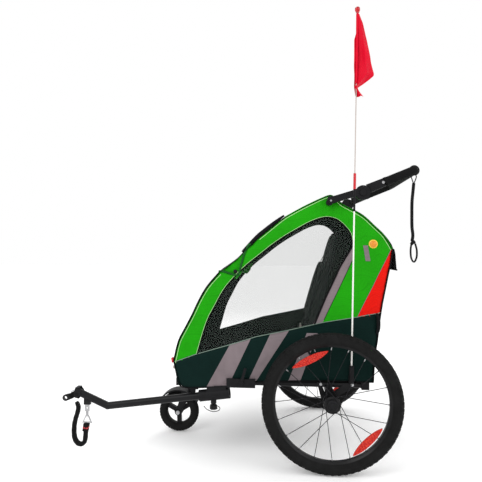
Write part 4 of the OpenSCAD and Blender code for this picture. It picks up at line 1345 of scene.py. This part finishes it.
# ---------------------------------------------------- carried-over CAD nodes
N = frame["nodes"]
look = {
    "side_rails": M_COAT, "cross_tubes": M_COAT, "axle_beam": M_COAT, "front_hoop": M_COAT, "rear_hoop": M_COAT,
    "handlebar": M_COAT, "tow_bar": M_COAT, "axle_brackets": M_COAT, "corner_blocks": M_PLASTIC,
    "front_hoop_feet": M_PLASTIC, "rear_hoop_feet": M_PLASTIC, "handle_base": M_PLASTIC, "frame_locks": M_PLASTIC,
    "lock_levers": M_PLASTIC, "tow_socket": M_PLASTIC, "hitch_latch": M_PLASTIC, "wheel_arm": M_PLASTIC,
    "caster_fork": M_PLASTIC, "flag_socket": M_PLASTIC, "floor_board": M_BOARD, "stub_axles": M_STEEL,
    "bracket_bolts": M_STEEL, "knuckle_bolts": M_COAT, "tow_clamp_knob": M_COAT, "hitch_eye": M_COAT,
    "strap_ring": M_STEEL, "snap_hook": M_STEEL, "front_axle": M_STEEL, "bearings_left": M_STEEL,
    "bearings_right": M_STEEL, "front_rim": M_PLASTIC, "rim_left": M_RIM, "rim_right": M_RIM, "hub_left": M_RIM,
    "hub_right": M_RIM, "spokes_left": M_SPOKE, "spokes_right": M_SPOKE, "reflectors_left": M_REFL,
    "reflectors_right": M_REFL, "flag_pole": M_POLE, "flag_mast": M_MAST, "flag_ferrule": M_REDP, "flag_knob": M_REDP,
}
bev = {"corner_blocks": 1.6, "handle_base": 2.0, "frame_locks": 1.6, "lock_levers": 1.0, "tow_socket": 1.6, "wheel_arm": 2.5,
       "caster_fork": 1.6, "flag_socket": 1.2, "front_rim": 1.2, "axle_brackets": 0.7, "hitch_eye": 1.2, "strap_ring": 0.8,
       "snap_hook": 1.0, "tow_clamp_knob": 0.8, "hub_left": 0.8, "hub_right": 0.8, "floor_board": 0.8, "tow_bar": 0.8,
       "front_axle": 0.8, "stub_axles": 0.8, "hitch_latch": 0.5, "flag_knob": 0.8, "reflectors_left": 1.0, "reflectors_right": 1.0}
for n, m in look.items():
    o = N.get(n)
    if o is None:
        continue
    if not o.data.materials:
        o.data.materials.append(m)
    for sl in o.material_slots:
        sl.link = "OBJECT"
        sl.material = m
    if n in bev:
        md = o.modifiers.new("edge", "BEVEL")
        md.width = bev[n] / 1000
        md.segments = 2
        md.limit_method = "ANGLE"
        md.angle_limit = math.radians(42)
        md.use_clamp_overlap = True
        md.harden_normals = False

# -------------------------------------------------------------------- stage
me = bpy.data.meshes.new("floor")
me.from_pydata([(-30, -30, 0), (30, -30, 0), (30, 30, 0), (-30, 30, 0)], [], [(0, 1, 2, 3)])
m, nt, b = new_mat("pale_floor")
n1 = node(nt, "ShaderNodeTexNoise", Scale=3.0, Detail=3.0)
nt.links.new(coords(nt), n1.inputs["Vector"])
nt.links.new(ramp(nt, n1.outputs["Fac"], [(0.3, (0.94, 0.94, 0.94)), (0.7, (0.96, 0.96, 0.96))]), b.inputs["Base Color"])
b.inputs["Roughness"].default_value = 0.9
b.inputs["Specular IOR Level"].default_value = 0.1
b.inputs["Emission Color"].default_value = (1, 1, 1, 1)
b.inputs["Emission Strength"].default_value = 0.10
floor = link("floor", me, m, False)

world = bpy.data.worlds.new("studio")
bpy.context.scene.world = world
world.use_nodes = True
bg = world.node_tree.nodes["Background"]
bg.inputs["Color"].default_value = (1, 1, 1, 1)
bg.inputs["Strength"].default_value = 1.0


def area_light(name, loc, target, size, power):
    d = bpy.data.lights.new(name, "AREA")
    d.shape = "RECTANGLE"
    d.size = d.size_y = size
    d.energy = power
    o = bpy.data.objects.new(name, d)
    o.location = loc
    o.rotation_mode = "QUATERNION"
    o.rotation_quaternion = (Vector(target) - Vector(loc)).to_track_quat("-Z", "Y")
    bpy.context.scene.collection.objects.link(o)
    return o


area_light("key", (-1.6, -2.6, 3.0), (0, 0, 0.6), 2.2, 46)
area_light("fill", (2.6, -1.6, 2.0), (0, 0, 0.6), 2.0, 20)
area_light("back", (0.5, 2.8, 2.6), (0, 0, 0.7), 2.4, 30)
